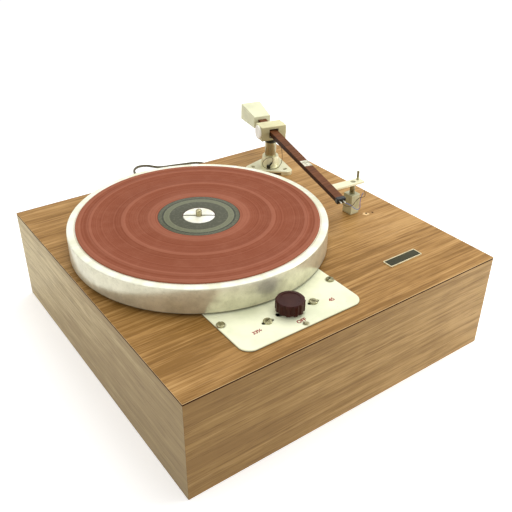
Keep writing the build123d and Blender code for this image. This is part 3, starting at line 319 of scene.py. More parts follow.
@dataclass(frozen=True)
class Veneer(Finish):
    """Oiled wood veneer: wavering streaks along the grain, fine fibres and short dark pores."""

    grain: Grain
    shift: Point
    pale: Colour = chip(195, 153, 97)
    middle: Colour = chip(172, 130, 75)
    dark: Colour = chip(138, 100, 49)
    pore: Colour = chip(92, 60, 30)
    # Pale colour for the painted highlight on the lip, and for bare wood at chipped places.
    lip_highlight_and_bare_wood: Colour = chip(244, 208, 150)
    # Dark colour of the glue joint, also used for painted shade in the holes.
    joint: Colour = chip(54, 24, 2)
    # Painted light: the wood's tone ramps between these two ends along the toward direction, within the reach
    # below.
    painted_light_ends: tuple[float, float] = (-0.036, 0.024)
    toward: tuple[float, float] = (0.7, 0.7)
    painted_light_reach: float = 0.2
    figure: float = 1.0
    chipped: tuple[Point, ...] = ()
    holes: Pairs = ()
    seam_low: float = 0.1216
    seam_high: float = 0.1234
    lip_low: float = 0.1232
    lip_high: float = 0.1236
    face_low: float = 0.1238
    face_high: float = 0.12395
    roughness: float = 0.46

    def along(self, bench: Bench, scale: float, detail: float, rough: float, warp: float = 0.0) -> Socket:
        """Noise squeezed along the grain."""
        squeezed = bench.stretched(tuple(scale * part for part in self.grain.value), self.shift)
        return bench.noise(squeezed, 1.0, detail, rough, warp)

    def tone(self, bench: Bench, fibres: Socket) -> Socket:
        """Lightness of the wood, about a half.

        Args:
            bench: the material's nodes.
            fibres: the finest streaks.

        Returns:
            Streaks, fibres and cloudy patches, with painted light that ramps from one side to the other.
        """
        broad = self.along(bench, 1.5, 3.0, 0.5, 0.5)
        streaks = self.along(bench, 7.0, 4.0, 0.65, 0.2)
        patches = bench.noise(bench.stretched((1.0, 1.0, 1.0), self.shift), 26.0, 3.0)
        tone = bench.plus(bench.times(broad, 0.34), bench.times(streaks, 0.38), bench.times(fibres, 0.28),
                          bench.times(bench.plus(patches, -0.5), 0.12))
        tone = bench.scaled(tone, self.figure, 0.5 - 0.5 * self.figure)
        # Painted light: a ramp of lighter and darker tone across the panel.
        across = bench.scaled(bench.axis(1), self.toward[1], bench.times(bench.axis(0), self.toward[0]))
        across = bench.span(across, -self.painted_light_reach, self.painted_light_reach)
        return bench.plus(tone, bench.scaled(across, self.painted_light_ends[1] - self.painted_light_ends[0], self.painted_light_ends[0]))

    def wire(self, bench: Bench) -> None:
        """Wires wood, seam, a painted highlight on the lip, chipped places and painted shade in the empty
        holes.

        Args:
            bench: the material's nodes.
        """
        fibres = self.along(bench, 17.0, 3.0, 0.6, 0.1)
        pores = bench.span(self.along(bench, 30.0, 2.0, 0.5), 0.56, 0.66)
        tone = self.tone(bench, fibres)
        bench.colour = bench.ramp(tone, (0.41, self.dark), (0.50, self.middle), (0.59, self.pale))
        bench.paint(self.pore, pores, 0.36)
        level = bench.axis(2)
        seam = bench.band(level, self.seam_low, self.seam_high, 0.0002)
        bench.paint(self.joint, seam)
        # Pale strip on the lip under the top edge: a painted highlight, and wear.
        wear_and_edge_highlight = bench.times(bench.span(level, self.lip_low, self.lip_high), bench.facing_up(0.95, 0.7))
        bench.paint(self.lip_highlight_and_bare_wood, wear_and_edge_highlight, 0.8)
        ragged = bench.times(bench.plus(bench.noise(bench.place, 420.0, 3.0, 0.6), -0.5), 0.008)
        for x, y, reach in self.chipped:
            bare = bench.span(bench.plus(bench.distance(x, y), ragged), reach + 0.0004, reach)
            bench.paint(self.lip_highlight_and_bare_wood, bench.times(bare, bench.span(level, self.face_low, self.face_high)), 0.8)
        # Painted shade inside the empty holes.
        for x, y in self.holes:
            bench.paint(self.joint, bench.span(bench.distance(x, y), 0.0017, 0.0012), 0.85)
        bench.relief(bench.sum("SUBTRACT", fibres, bench.times(pores, 0.5)), 0.00012, 0.5)
        bench.surface(bench.scaled(seam, 0.5, self.roughness), Specular_IOR_Level=0.18)


@dataclass(frozen=True)
class RawBoard(Finish):
    """Unfinished board under the veneer, mottled and fibrous."""

    light: Colour = chip(196, 164, 118)
    dark: Colour = chip(120, 88, 55)

    def wire(self, bench: Bench) -> None:
        """Wires the flakes.

        Args:
            bench: the material's nodes.
        """
        flakes = bench.noise(bench.place, 240.0, 5.0, 0.7)
        bench.colour = bench.ramp(flakes, (0.3, self.dark), (0.7, self.light))
        bench.relief(flakes, 0.0004, 0.6)
        bench.surface(0.85)


@dataclass(frozen=True)
class BrushedPlate(Finish):
    """Pale lacquered plate with a faint brushing along X, darker round its fasteners, and painted shade along
    its lower edge.
    """

    fasteners: tuple[Point, ...]
    light: Colour = chip(248, 250, 216)
    shade: Colour = chip(232, 236, 200)
    # Colour of the specks and of the darker rings round the fasteners.
    speck_and_ring_colour: Colour = chip(120, 108, 76)
    painted_edge_shade: Colour = chip(70, 54, 30)
    edge_low: float = 0.1244
    edge_high: float = 0.1252

    def wire(self, bench: Bench) -> None:
        """Wires brushing, clouds, specks, darker rings round the fasteners and painted shade at the edge.

        Args:
            bench: the material's nodes.
        """
        brushing = bench.noise(bench.stretched((30.0, 1500.0, 30.0)), 2.0, 3.0, 0.6)
        clouds = bench.noise(bench.place, 22.0, 4.0, 0.6)
        bench.colour = bench.ramp(clouds, (0.38, self.shade), (0.56, self.light))
        bench.paint(self.shade, bench.span(brushing, 0.62, 0.4), 0.10)
        bench.paint(self.speck_and_ring_colour, bench.specks(90.0, 0.035), 0.4)
        # Darker, patchy rings round the fasteners.
        darkening = bench.span(bench.noise(bench.place, 420.0, 3.0, 0.6), 0.25, 0.6)
        for x, y, reach in self.fasteners:
            near = bench.span(bench.distance(x, y), reach + 0.0014, reach)
            bench.paint(self.speck_and_ring_colour, bench.times(near, darkening), 0.8)
        # Painted shade along the plate's lower edge, where it stands over the board.
        bench.paint(self.painted_edge_shade, bench.span(bench.axis(2), self.edge_high, self.edge_low), 0.9)
        bench.relief(brushing, 0.00003, 0.3)
        bench.surface(bench.span(clouds, -1.2, 2.4), Specular_IOR_Level=0.5)


@dataclass(frozen=True)
class TurnedRim(Finish):
    """Turned aluminium of the platter: soiled and near white above, clouded and glossier on its side."""

    centre: Point
    side: Colour = chip(228, 224, 200)
    side_shade: Colour = chip(208, 204, 180)
    side_metal: float = 0.5
    side_rough: float = 0.28
    face_metal: float = 0.1
    face_rough: float = 0.45
    face: Colour = chip(255, 255, 238)
    dull: Colour = chip(238, 238, 210)
    soil_and_painted_shade: Colour = chip(214, 206, 160)
    speck: Colour = chip(176, 168, 124)
    edge_line: Colour = chip(186, 178, 138)
    edge_low: float = 0.1438
    edge_high: float = 0.1443
    bright: Colour = chip(244, 244, 210)
    cloud: Colour = chip(112, 110, 92)
    mark: Colour = chip(110, 108, 90)
    pit: Colour = chip(86, 84, 66)
    painted_foot_shade: Colour = chip(70, 66, 44)
    foot_low: float = 0.1283
    foot_high: float = 0.1290

    def wire(self, bench: Bench) -> None:
        """Wires the clouded side and the top's soiled face.

        Args:
            bench: the material's nodes.
        """
        x, y, _ = self.centre
        angle = bench.bearing(x, y)
        level = bench.axis(2)
        cloth = bench.joined(bench.sum("COSINE", angle), bench.sum("SINE", angle), bench.times(level, 7.0))
        clouds = bench.noise(cloth, 10.0, 4.0, 0.6)
        bench.colour = bench.ramp(clouds, (0.38, self.side_shade), (0.6, self.side))
        blotch = bench.noise(cloth, 38.0, 5.0, 0.7)
        bench.paint(self.bright, bench.span(blotch, 0.54, 0.70), 0.22)
        bench.paint(self.cloud, bench.span(blotch, 0.46, 0.32), 0.14)
        turning = bench.noise(bench.joined(0.0, 0.0, level), 2600.0, 3.0, 0.7)
        bench.paint(self.mark, bench.span(turning, 0.4, 0.7), 0.08)
        pits = bench.specks(330.0, 0.10)
        bench.paint(self.pit, pits, 0.28)
        # Painted shade: a dark band along the rim's lower edge, over the plate.
        bench.paint(self.painted_foot_shade, bench.span(level, self.foot_high, self.foot_low), 0.7)
        flank = bench.colour
        broad = bench.noise(cloth, 7.0, 3.0, 0.6)
        bench.colour = bench.blend(bench.span(broad, 0.42, 0.62), self.face, self.dull)
        # Soil on the rim's top face.
        bench.paint(self.soil_and_painted_shade, bench.span(bench.noise(bench.place, 90.0, 5.0, 0.7), 0.6, 0.75), 0.3)
        line = bench.band(bench.distance(x, y), self.edge_low, self.edge_high, 0.0003)
        bench.paint(self.edge_line, line, 0.6)
        bench.paint(self.speck, bench.specks(70.0, 0.05), 0.4)
        upward = bench.facing_up(0.35, 0.75)
        bench.colour = bench.blend(upward, flank, bench.colour)
        bench.relief(bench.times(pits, -1.0), 0.00004, 0.3)
        bench.surface(bench.scaled(upward, self.face_rough - self.side_rough, self.side_rough),
                      Specular_IOR_Level=0.4)
        metal = bench.scaled(upward, self.face_metal - self.side_metal, self.side_metal)
        bench.join(metal, bench.shader.inputs["Metallic"])


@dataclass(frozen=True)
class Metal(Finish):
    """Bare or satin metal with a little tarnish, fine tool marks, and painted shade on its upright faces."""

    light: Colour
    shade: Colour
    roughness: float = 0.35
    metallic: float = 0.6
    cloud_scale: float = 60.0
    mark_scale: float = 900.0
    # Share of painted shade on upright faces.
    side: float = 0.0
    soil_and_painted_shade: Colour = chip(150, 140, 104)

    def wire(self, bench: Bench) -> None:
        """Wires tarnish, marks and painted shade on upright faces.

        Args:
            bench: the material's nodes.
        """
        clouds = bench.noise(bench.place, self.cloud_scale, 4.0, 0.6)
        marks = bench.noise(bench.place, self.mark_scale, 3.0, 0.6)
        bench.colour = bench.ramp(clouds, (0.34, self.shade), (0.6, self.light))
        bench.paint(self.shade, bench.span(marks, 0.6, 0.75), 0.3)
        # Painted shade: upright faces darkened by the side share.
        if self.side:
            bench.paint(self.soil_and_painted_shade, bench.facing_up(0.8, 0.5), self.side)
        rough = bench.span(clouds, 0.5 - 0.5 / self.roughness, 0.5 + 0.5 / self.roughness)
        bench.relief(marks, 0.00003, 0.4)
        bench.surface(bench.times(rough, 2 * self.roughness), self.metallic)


@dataclass(frozen=True)
class MatRubber(Finish):
    """Red-brown moulded rubber: paler plain rings between zones of fine grooves, with a little dust."""

    centre: Point
    radius: float
    ring_shares: Pairs
    groove_pitch: float = 0.00115
    body: Colour = chip(146, 85, 63)
    ring: Colour = chip(160, 99, 77)
    dust: Colour = chip(180, 120, 96)
    cut: Colour = chip(116, 58, 40)

    def wire(self, bench: Bench) -> None:
        """Wires rings, grooves and dust.

        Args:
            bench: the material's nodes.
        """
        out = bench.distance(*self.centre[:2])
        share = bench.sum("DIVIDE", out, self.radius)
        rings = bench.plus(0.0, *(bench.band(share, low, high, 0.003) for low, high in self.ring_shares))
        grooves = bench.sum("SINE", bench.times(out, 2 * math.pi / self.groove_pitch))
        cut = bench.times(grooves, bench.sum("SUBTRACT", 1.0, rings))
        turning = bench.noise(bench.joined(0.0, 0.0, out), 520.0, 2.0, 0.5)
        grit = bench.noise(bench.place, 1500.0, 2.0, 0.6)
        bench.colour = self.body
        bench.paint(self.ring, rings)
        bench.paint(self.cut, bench.span(cut, -0.2, 2.6))
        bench.paint(self.cut, bench.span(turning, 0.5, 0.72), 0.6)
        bench.paint(self.ring, bench.span(turning, 0.5, 0.3), 0.4)
        bench.paint(self.dust, bench.span(bench.noise(bench.place, 60.0, 5.0, 0.65), 0.45, 0.8), 0.22)
        bench.paint(self.dust, bench.span(grit, 0.6, 0.8), 0.3)
        bench.relief(bench.scaled(cut, 0.5, grit), 0.00012, 0.5)
        bench.surface(0.7, Specular_IOR_Level=0.08)


@dataclass(frozen=True)
class StrobePrint(Finish):
    """Printed disc: two rings of speed bars round a plain dark middle."""

    centre: Point
    radius: float
    slow_bars: float = 216.0
    fast_bars: float = 160.0
    paper: Colour = chip(112, 114, 88)
    ink: Colour = chip(52, 54, 40)
    middle: Colour = chip(72, 73, 56)
    rubbed: Colour = chip(150, 150, 128)

    def wire(self, bench: Bench) -> None:
        """Wires the rings of bars and the wear.

        Args:
            bench: the material's nodes.
        """
        x, y, _ = self.centre
        share = bench.sum("DIVIDE", bench.distance(x, y), self.radius)
        angle = bench.bearing(x, y)
        slow, fast = (bench.span(bench.sum("SINE", bench.times(angle, count)), -0.15, 0.15)
                      for count in (self.slow_bars, self.fast_bars))
        bench.colour = self.ink
        bench.paint(self.paper, bench.band(share, 0.715, 0.86, 0.004))
        bench.paint(self.paper, bench.times(bench.band(share, 0.90, 0.985, 0.004), slow), 0.8)
        bench.paint(self.ink, bench.times(bench.band(share, 0.745, 0.83, 0.004), fast), 0.25)
        bench.paint(self.middle, bench.span(share, 0.718, 0.712))
        wear = bench.noise(bench.place, 300.0, 4.0, 0.65)
        bench.paint(self.rubbed, bench.span(wear, 0.5, 0.8), 0.3)
        bench.relief(wear, 0.00004, 0.3)
        bench.surface(0.5, Specular_IOR_Level=0.3)


@dataclass(frozen=True)
class HubMetal(Finish):
    """Near white turned metal, with painted shade in the finger slot."""

    light: Colour = chip(255, 255, 248)
    shade: Colour = chip(238, 236, 216)
    darkening: Colour = chip(84, 78, 54)
    face: float = 0.1593
    slot_shade_depth: float = 0.0008

    def wire(self, bench: Bench) -> None:
        """Wires clouds, painted slot shade and turning marks.

        Args:
            bench: the material's nodes.
        """
        clouds = bench.noise(bench.place, 60.0, 4.0, 0.6)
        bench.colour = bench.ramp(clouds, (0.4, self.shade), (0.6, self.light))
        # Painted shade: the finger slot darkens below the face.
        bench.paint(self.darkening, bench.span(bench.axis(2), self.face, self.face - self.slot_shade_depth), 0.9)
        bench.relief(bench.noise(bench.place, 900.0, 2.0, 0.5), 0.00002, 0.3)
        bench.surface(bench.span(clouds, -0.8, 2.0), 0.2)


@dataclass(frozen=True)
class Moulded(Finish):
    """Moulded plastic, paint or rubber with a faint orange-peel surface and dull, dusty places."""

    colour: Colour
    wear_and_edge_highlight: Colour
    roughness: float = 0.3
    coat: float = 0.0
    grain_scale: float = 700.0
    grain_depth: float = 0.00003
    sheen: float = 0.3

    def wire(self, bench: Bench) -> None:
        """Wires orange peel and dull places.

        Args:
            bench: the material's nodes.
        """
        dull = bench.noise(bench.place, 130.0, 4.0, 0.6)
        bench.colour = self.colour
        bench.paint(self.wear_and_edge_highlight, bench.span(dull, 0.42, 0.8), 0.6)
        bench.relief(bench.noise(bench.place, self.grain_scale, 3.0, 0.6), self.grain_depth, 0.5)
        rough = bench.times(bench.span(dull, -0.6, 1.6), 2 * self.roughness)
        bench.surface(rough, Specular_IOR_Level=self.sheen, Coat_Weight=self.coat, Coat_Roughness=0.12)


@dataclass(frozen=True)
class ArmWood(Finish):
    """Dark oiled hardwood whose fine grain runs along the tonearm."""

    turn: float
    light: Colour = chip(126, 80, 50)
    middle: Colour = chip(88, 50, 28)
    dark: Colour = chip(36, 18, 8)

    def wire(self, bench: Bench) -> None:
        """Wires streaks and pores, with painted light on the top faces and painted shade on the sides.

        Args:
            bench: the material's nodes.
        """
        along = bench.stretched((1.0, 22.0, 22.0), turn=self.turn)
        pores = bench.noise(along, 70.0, 3.0, 0.6)
        streaks = bench.noise(along, 14.0, 6.0, 0.65, 0.5)
        bench.colour = bench.ramp(streaks, (0.32, self.dark), (0.5, self.middle), (0.7, self.light))
        bench.paint(self.dark, bench.span(pores, 0.6, 0.72), 0.5)
        # Painted light on top faces and painted shade on the sides.
        upward = bench.facing_up(0.5, 0.8)
        bench.paint(self.light, upward, 0.35)
        bench.paint(self.dark, bench.sum("SUBTRACT", 1.0, upward), 0.72)
        bench.relief(pores, 0.00005, 0.5)
        bench.surface(0.5, Specular_IOR_Level=0.12)


@dataclass(frozen=True)
class Laminations(Finish):
    """Stack of thin steel sheets seen on edge."""

    sheet: float = 0.0005
    groove: Colour = chip(70, 66, 60)
    steel: Colour = chip(150, 146, 136)
    rust: Colour = chip(120, 82, 54)

    def wire(self, bench: Bench) -> None:
        """Wires sheets and rust.

        Args:
            bench: the material's nodes.
        """
        wave = bench.sum("SINE", bench.times(bench.axis(2), 2 * math.pi / self.sheet))
        bench.colour = self.groove
        bench.paint(self.steel, bench.span(wave, -0.4, 0.4))
        bench.paint(self.rust, bench.span(bench.noise(bench.place, 160.0, 5.0, 0.7), 0.5, 0.75), 0.5)
        bench.relief(wave, 0.0001, 0.5)
        bench.surface(0.5, 0.6)


@dataclass
class Workshop:
    """Hand tools that make and trim one mesh at a time with Blender's own operators."""

    frame: dict
    merge_reach: float = 0.000002
    smooth_angle: float = math.radians(32.0)
    edge_angle: float = math.radians(38.0)
    flat_angle: float = math.radians(0.6)
    print_depth: float = 0.00002
    stroke_share: float = 0.035

    @staticmethod
    def rest() -> None:
        """Leaves edit mode and selects nothing."""
        if bpy.context.object is not None and bpy.context.object.mode != "OBJECT":
            bpy.ops.object.mode_set(mode="OBJECT")
        bpy.ops.object.select_all(action="DESELECT")

    def take(self, piece: Piece) -> None:
        """Makes one object the only one selected and active.

        Args:
            piece: the object.
        """
        self.rest()
        piece.select_set(True)
        bpy.context.view_layer.objects.active = piece

    def dress(self, piece: Piece, material: Material) -> None:
        """Gives an object one material.

        Args:
            piece: the object.
            material: the material.
        """
        if piece.material_slots:
            for slot in piece.material_slots:
                slot.material = material
        else:
            piece.data.materials.append(material)

    def coat(self, finish: Finish, *nodes: str) -> None:
        """Gives CAD nodes a finish and leaves their meshes as they are.

        Args:
            finish: the finish.
            *nodes: the nodes.
        """
        material = finish.make()
        for node in nodes:
            self.dress(self.frame["nodes"][node], material)

    def smooth(self, piece: Piece, angle: float) -> None:
        """Shades an object smooth up to an angle between faces."""
        self.take(piece)
        bpy.ops.object.shade_smooth_by_angle(angle=angle)

    def modify(self, piece: Piece, kind: str, **settings: object) -> None:
        """Applies a modifier.

        Args:
            piece: the object.
            kind: the modifier's type.
            **settings: its settings.
        """
        self.take(piece)
        modifier = piece.modifiers.new("shape", kind)
        for key, value in settings.items():
            setattr(modifier, key, value)
        bpy.ops.object.modifier_apply(modifier=modifier.name)

    def bevel(self, piece: Piece, width: float, segments: int) -> None:
        """Rounds an object's sharp edges by a width, with a number of facets."""
        self.modify(piece, "BEVEL", width=width, segments=segments, limit_method="ANGLE",
                    angle_limit=self.edge_angle, use_clamp_overlap=True)

    def lathe(self, name: str, outline: Pairs, centre: Point, steps: int) -> Piece:
        """Turns an outline about an upright axis.

        Args:
            name: the piece's name.
            outline: radius and height pairs from one end of the outline to the other.
            centre: a point on the axis; its height isn't read.
            steps: facets round the piece.

        Returns:
            The turned piece, closed where the outline meets the axis or its own start.
        """
        self.rest()
        bpy.ops.mesh.primitive_plane_add(size=0.01, location=(0.0, 0.0, 0.0))
        piece = bpy.context.object
        piece.name = name
        bpy.ops.object.mode_set(mode="EDIT")
        bpy.ops.mesh.select_all(action="SELECT")
        bpy.ops.mesh.merge(type="CENTER")
        bpy.ops.transform.translate(value=(centre[0] + outline[0][0], centre[1], outline[0][1]))
        for before, after in zip(outline, outline[1:]):
            step = (after[0] - before[0], 0.0, after[1] - before[1])
            bpy.ops.mesh.extrude_region_move(TRANSFORM_OT_translate={"value": step})
        bpy.ops.mesh.select_all(action="SELECT")
        bpy.ops.mesh.spin(steps=steps, angle=2 * math.pi, center=(*centre[:2], 0.0), axis=(0.0, 0.0, 1.0))
        bpy.ops.mesh.select_all(action="SELECT")
        bpy.ops.mesh.remove_doubles(threshold=self.merge_reach)
        bpy.ops.mesh.normals_make_consistent(inside=False)
        bpy.ops.object.mode_set(mode="OBJECT")
        piece.data.name = name
        self.smooth(piece, self.smooth_angle)
        return piece

    def finish(self, node: str, body: str, material: Material, edge: float, segments: int = 2,
               name: str = "") -> Piece:
        """Merged copy of a CAD node with rounded edges, which stands for the node.

        Args:
            node: the node copied.
            body: the body that the copy rides on.
            material: the copy's material.
            edge: width of the rounding.
            segments: facets across the rounding.
            name: the copy's name, where it isn't the node's with _finished.

        Returns:
            The copy.
        """
        piece = bpy.data.objects.new(name or node + "_finished", self.frame["nodes"][node].data.copy())
        bpy.context.scene.collection.objects.link(piece)
        piece.data.materials.clear()
        self.take(piece)
        if piece.data.has_custom_normals:
            bpy.ops.mesh.customdata_custom_splitnormals_clear()
        bpy.ops.object.mode_set(mode="EDIT")
        bpy.ops.mesh.select_all(action="SELECT")
        bpy.ops.mesh.remove_doubles(threshold=self.merge_reach)
        bpy.ops.mesh.dissolve_limited(angle_limit=self.flat_angle)
        bpy.ops.mesh.normals_make_consistent(inside=False)
        bpy.ops.object.mode_set(mode="OBJECT")
        self.bevel(piece, edge, segments)
        self.smooth(piece, self.smooth_angle)
        self.modify(piece, "WEIGHTED_NORMAL", keep_sharp=True)
        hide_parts(node)
        self.dress(piece, material)
        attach(piece, body)
        return piece

    def letters(self, name: str, words: str, size: float, place: Point, material: Material) -> Piece:
        """Printed characters lying flat.

        Args:
            name: the piece's name.
            words: the characters.
            size: letter height setting.
            place: middle of the characters.
            material: the ink.

        Returns:
            The characters as a mesh with their place applied.
        """
        self.rest()
        bpy.ops.object.text_add(location=(0.0, 0.0, 0.0))
        piece = bpy.context.object
        piece.name = name
        piece.data.body = words
        piece.data.size = size
        piece.data.align_x = "CENTER"
        piece.data.align_y = "CENTER"
        piece.data.extrude = self.print_depth
        piece.data.offset = size * self.stroke_share
        bpy.ops.object.convert(target="MESH")
        piece = bpy.context.object
        piece.matrix_world = Matrix.Translation(place)
        self.take(piece)
        bpy.ops.object.transform_apply(location=True, rotation=True, scale=True)
        self.dress(piece, material)
        return piece


@dataclass
class Assembly:
    """Group of pieces that are made and dressed with the workshop's tools."""

    shop: Workshop

    def build(self) -> None:
        """Makes and dresses the pieces."""
        raise NotImplementedError(type(self).__name__)


@dataclass
class Studio(Assembly):
    """Camera, plain pale floor and soft light."""

    focal_pixels: float = 667.2515
    image_pixels: float = 512.0
    sensor: float = 36.0
    nearest: float = 0.01
    camera_place: Point = (-0.4045, -0.5875, 0.5315)
    yaw: float = 0.9448
    pitch: float = 0.5518
    roll: float = -0.0094
    floor_size: float = 14.0
    floor_colour: Colour = (0.8, 0.79, 0.76, 1.0)
    floor_glow: float = 0.36
    sky_colour: Colour = (1.0, 0.99, 0.965, 1.0)
    sky_strength: float = 0.62
    aim: Point = (0.0, 0.0, 0.1)
    lamps: tuple[tuple[Point, float, float], ...] = (
        ((0.50, 0.20, 1.50), 1.3, 12.0), ((-1.4, -0.3, 0.95), 1.3, 3.5), ((0.84, -0.72, 0.36), 0.5, 4.2))

    def camera(self) -> None:
        """Places the camera that was fitted to the box's corners."""
        cos, sin = math.cos, math.sin
        forward = Vector((cos(self.pitch) * cos(self.yaw), cos(self.pitch) * sin(self.yaw), -sin(self.pitch)))
        right = Vector((sin(self.yaw), -cos(self.yaw), 0.0))
        down = forward.cross(right)
        across = cos(self.roll) * right + sin(self.roll) * down
        below = cos(self.roll) * down - sin(self.roll) * right
        turned = Matrix((across, -below, -forward)).transposed().to_4x4()
        lens = bpy.data.cameras.new("camera")
        lens.sensor_width = self.sensor
        lens.lens = self.focal_pixels / self.image_pixels * self.sensor
        lens.clip_start = self.nearest
        view = bpy.data.objects.new("camera", lens)
        view.matrix_world = Matrix.Translation(self.camera_place) @ turned
        bpy.context.scene.collection.objects.link(view)
        bpy.context.scene.camera = view

    def sky(self) -> None:
        """World that is white to the camera and in reflections, and softer as light."""
        world = bpy.data.worlds.new("studio")
        bpy.context.scene.world = world
        world.use_nodes = True
        world.node_tree.nodes.clear()
        air = Wiring(world.node_tree)
        path = air.node("LightPath").outputs
        seen = air.sum("MAXIMUM", path["Is Camera Ray"], path["Is Glossy Ray"])
        seen = air.sum("MAXIMUM", seen, path["Is Transmission Ray"])
        soft = air.node("Background", self.sky_colour, self.sky_strength)
        white = air.node("Background", WHITE, 1.0)
        air.node("OutputWorld", air.either(seen, soft.outputs[0], white.outputs[0]))

    def light(self) -> None:
        """Soft lamps aimed at the object."""
        for number, (place, size, power) in enumerate(self.lamps):
            lamp = bpy.data.lights.new(f"lamp_{number}", "AREA")
            lamp.shape = "DISK"
            lamp.size = size
            lamp.energy = power
            holder = bpy.data.objects.new(f"lamp_{number}", lamp)
            aim = Vector(self.aim) - Vector(place)
            holder.rotation_euler = aim.to_track_quat("-Z", "Y").to_euler()
            holder.location = place
            bpy.context.scene.collection.objects.link(holder)

    def floor(self) -> None:
        """Floor that is white to the camera and keeps the object's shadow."""
        self.shop.rest()
        bpy.ops.mesh.primitive_plane_add(size=self.floor_size, location=(0.0, 0.0, 0.0))
        plane = bpy.context.object
        plane.name = "floor"
        bench = Bench("studio floor")
        bench.colour = self.floor_colour
        bench.surface(0.9)
        paper = bench.node("BsdfDiffuse", WHITE)
        glow = bench.node("Emission", WHITE, self.floor_glow)
        lifted = bench.node("AddShader", paper.outputs[0], glow.outputs[0])
        path = bench.node("LightPath").outputs
        seen = bench.sum("MAXIMUM", path["Is Camera Ray"], path["Is Glossy Ray"])
        shown = bench.either(seen, bench.shader.outputs[0], lifted.outputs[0])
        bench.join(shown, bench.tree.nodes["Material Output"].inputs["Surface"])
        self.shop.dress(plane, bench.material)

    def build(self) -> None:
        """Sets the view transform, camera, sky, lamps and floor."""
        bpy.context.scene.view_settings.view_transform = "Standard"
        self.camera()
        self.sky()
        self.light()
        self.floor()


@dataclass
class Strand:
    """A cord or wire on one smooth curve."""

    name: str
    points: list[Point]
    diameter: float
    facets: int = 5
    steps: int = 8

    def curve(self) -> Piece:
        """Curve through the route, with no thickness yet.

        Returns:
            The curve's object.
        """
        data = bpy.data.curves.new(self.name, "CURVE")
        data.dimensions = "3D"
        data.resolution_u = self.steps
        spline = data.splines.new("NURBS")
        spline.points.add(len(self.points) - 1)
        for control, point in zip(spline.points, self.points):
            control.co = (*point, 1.0)
        spline.order_u = 3
        spline.use_endpoint_u = True
        piece = bpy.data.objects.new(self.name, data)
        bpy.context.scene.collection.objects.link(piece)
        return piece

    def line(self, piece: Piece) -> list[Vector]:
        """Points along the curve as Blender draws it.

        Args:
            piece: the curve's object, with no thickness yet.

        Returns:
            The points.
        """
        mesh = bpy.data.meshes.new_from_object(piece)
        points = [vertex.co.copy() for vertex in mesh.vertices]
        bpy.data.meshes.remove(mesh)
        return points

    def thicken(self, piece: Piece) -> None:
        """Gives the curve its round section and closed ends.

        Args:
            piece: the curve's object.
        """
        piece.data.bevel_depth = self.diameter / 2
        piece.data.bevel_resolution = self.facets
        piece.data.use_fill_caps = True


def run_length(points: Sequence[Vector]) -> float:
    """Length of a line through points."""
    return sum((after - before).length for before, after in zip(points, points[1:]))


@dataclass
class MainsLead(Assembly):
    """Mains lead: relief, loose run behind the box, put-away coil and plug."""

    diameter: float = 0.004
    exit: Point = (0.1305, 0.240, 0.028)
    route: tuple[Point, ...] = (
        (130.5, 262, 26), (131, 282, 17), (134, 303, 6), (140, 327, 2), (156, 350, 2),
        (178, 372, 2), (200, 397, 2), (216, 424, 2), (219, 446, 2), (207, 461, 2),
        (184, 467, 2), (161, 474, 2), (139, 479, 2), (129, 489, 2), (121, 502, 2),
        (105, 508, 2), (91, 499, 2), (84, 480, 2), (84, 455, 2), (90, 426, 2),
        (91, 397, 2), (82, 370, 2), (71.4, 347, 2), (71.4, 322, 2))
    coil_centre: tuple[float, float] = (0.040, 0.318)
    coil_outer: float = 0.0314
    coil_pitch: float = 0.0047
    coil_turns: int = 4
    turn_points: int = 12
    layer_rise: float = 0.0048
    climb_turns: float = 0.5
    plug_neck: tuple[Point, ...] = ((0.0744, 0.300, 0.0098), (0.0744, 0.292, 0.011), (0.0744, 0.284, 0.011))
    plug_edge: float = 0.0004
    gland_edge: float = 0.0003

    def coil(self) -> list[Point]:
        """Points of the coil: in on the table, over, and out on top of itself.

        Returns:
            The points.
        """
        points = []
        for step in range(2 * self.coil_turns * self.turn_points + 1):
            turns = step / self.turn_points
            from_middle = turns - self.coil_turns
            radius = self.coil_outer - self.coil_pitch * (self.coil_turns - abs(from_middle))
            climbed = min(max(from_middle / self.climb_turns + 0.5, 0.0), 1.0)
            angle = -2 * math.pi * turns
            points.append((self.coil_centre[0] + radius * math.cos(angle),
                           self.coil_centre[1] + radius * math.sin(angle),
                           self.diameter / 2 + self.layer_rise * climbed))
        return points

    def build(self) -> None:
        rubber = Moulded("lead rubber", chip(84, 76, 52), chip(122, 112, 82), 0.4).make()
        plastic = Moulded("plug plastic", chip(60, 54, 42), chip(96, 88, 70), 0.35).make()
        points = [self.exit, *metres(self.route), *self.coil(), *self.plug_neck]
        strand = Strand("mains_cord", points, self.diameter)
        cord = strand.curve()
        length = run_length(strand.line(cord))
        strand.thicken(cord)
        self.shop.dress(cord, rubber)
        plug = self.shop.finish("mains_plug", "chassis", plastic, self.plug_edge, name="plug")
        self.shop.finish("mains_gland", "chassis", rubber, self.gland_edge, name="gland")
        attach(cord, "chassis")
        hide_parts("mains_lead", "mains_coil")
        LOG.info("mains lead %.3f m", length)


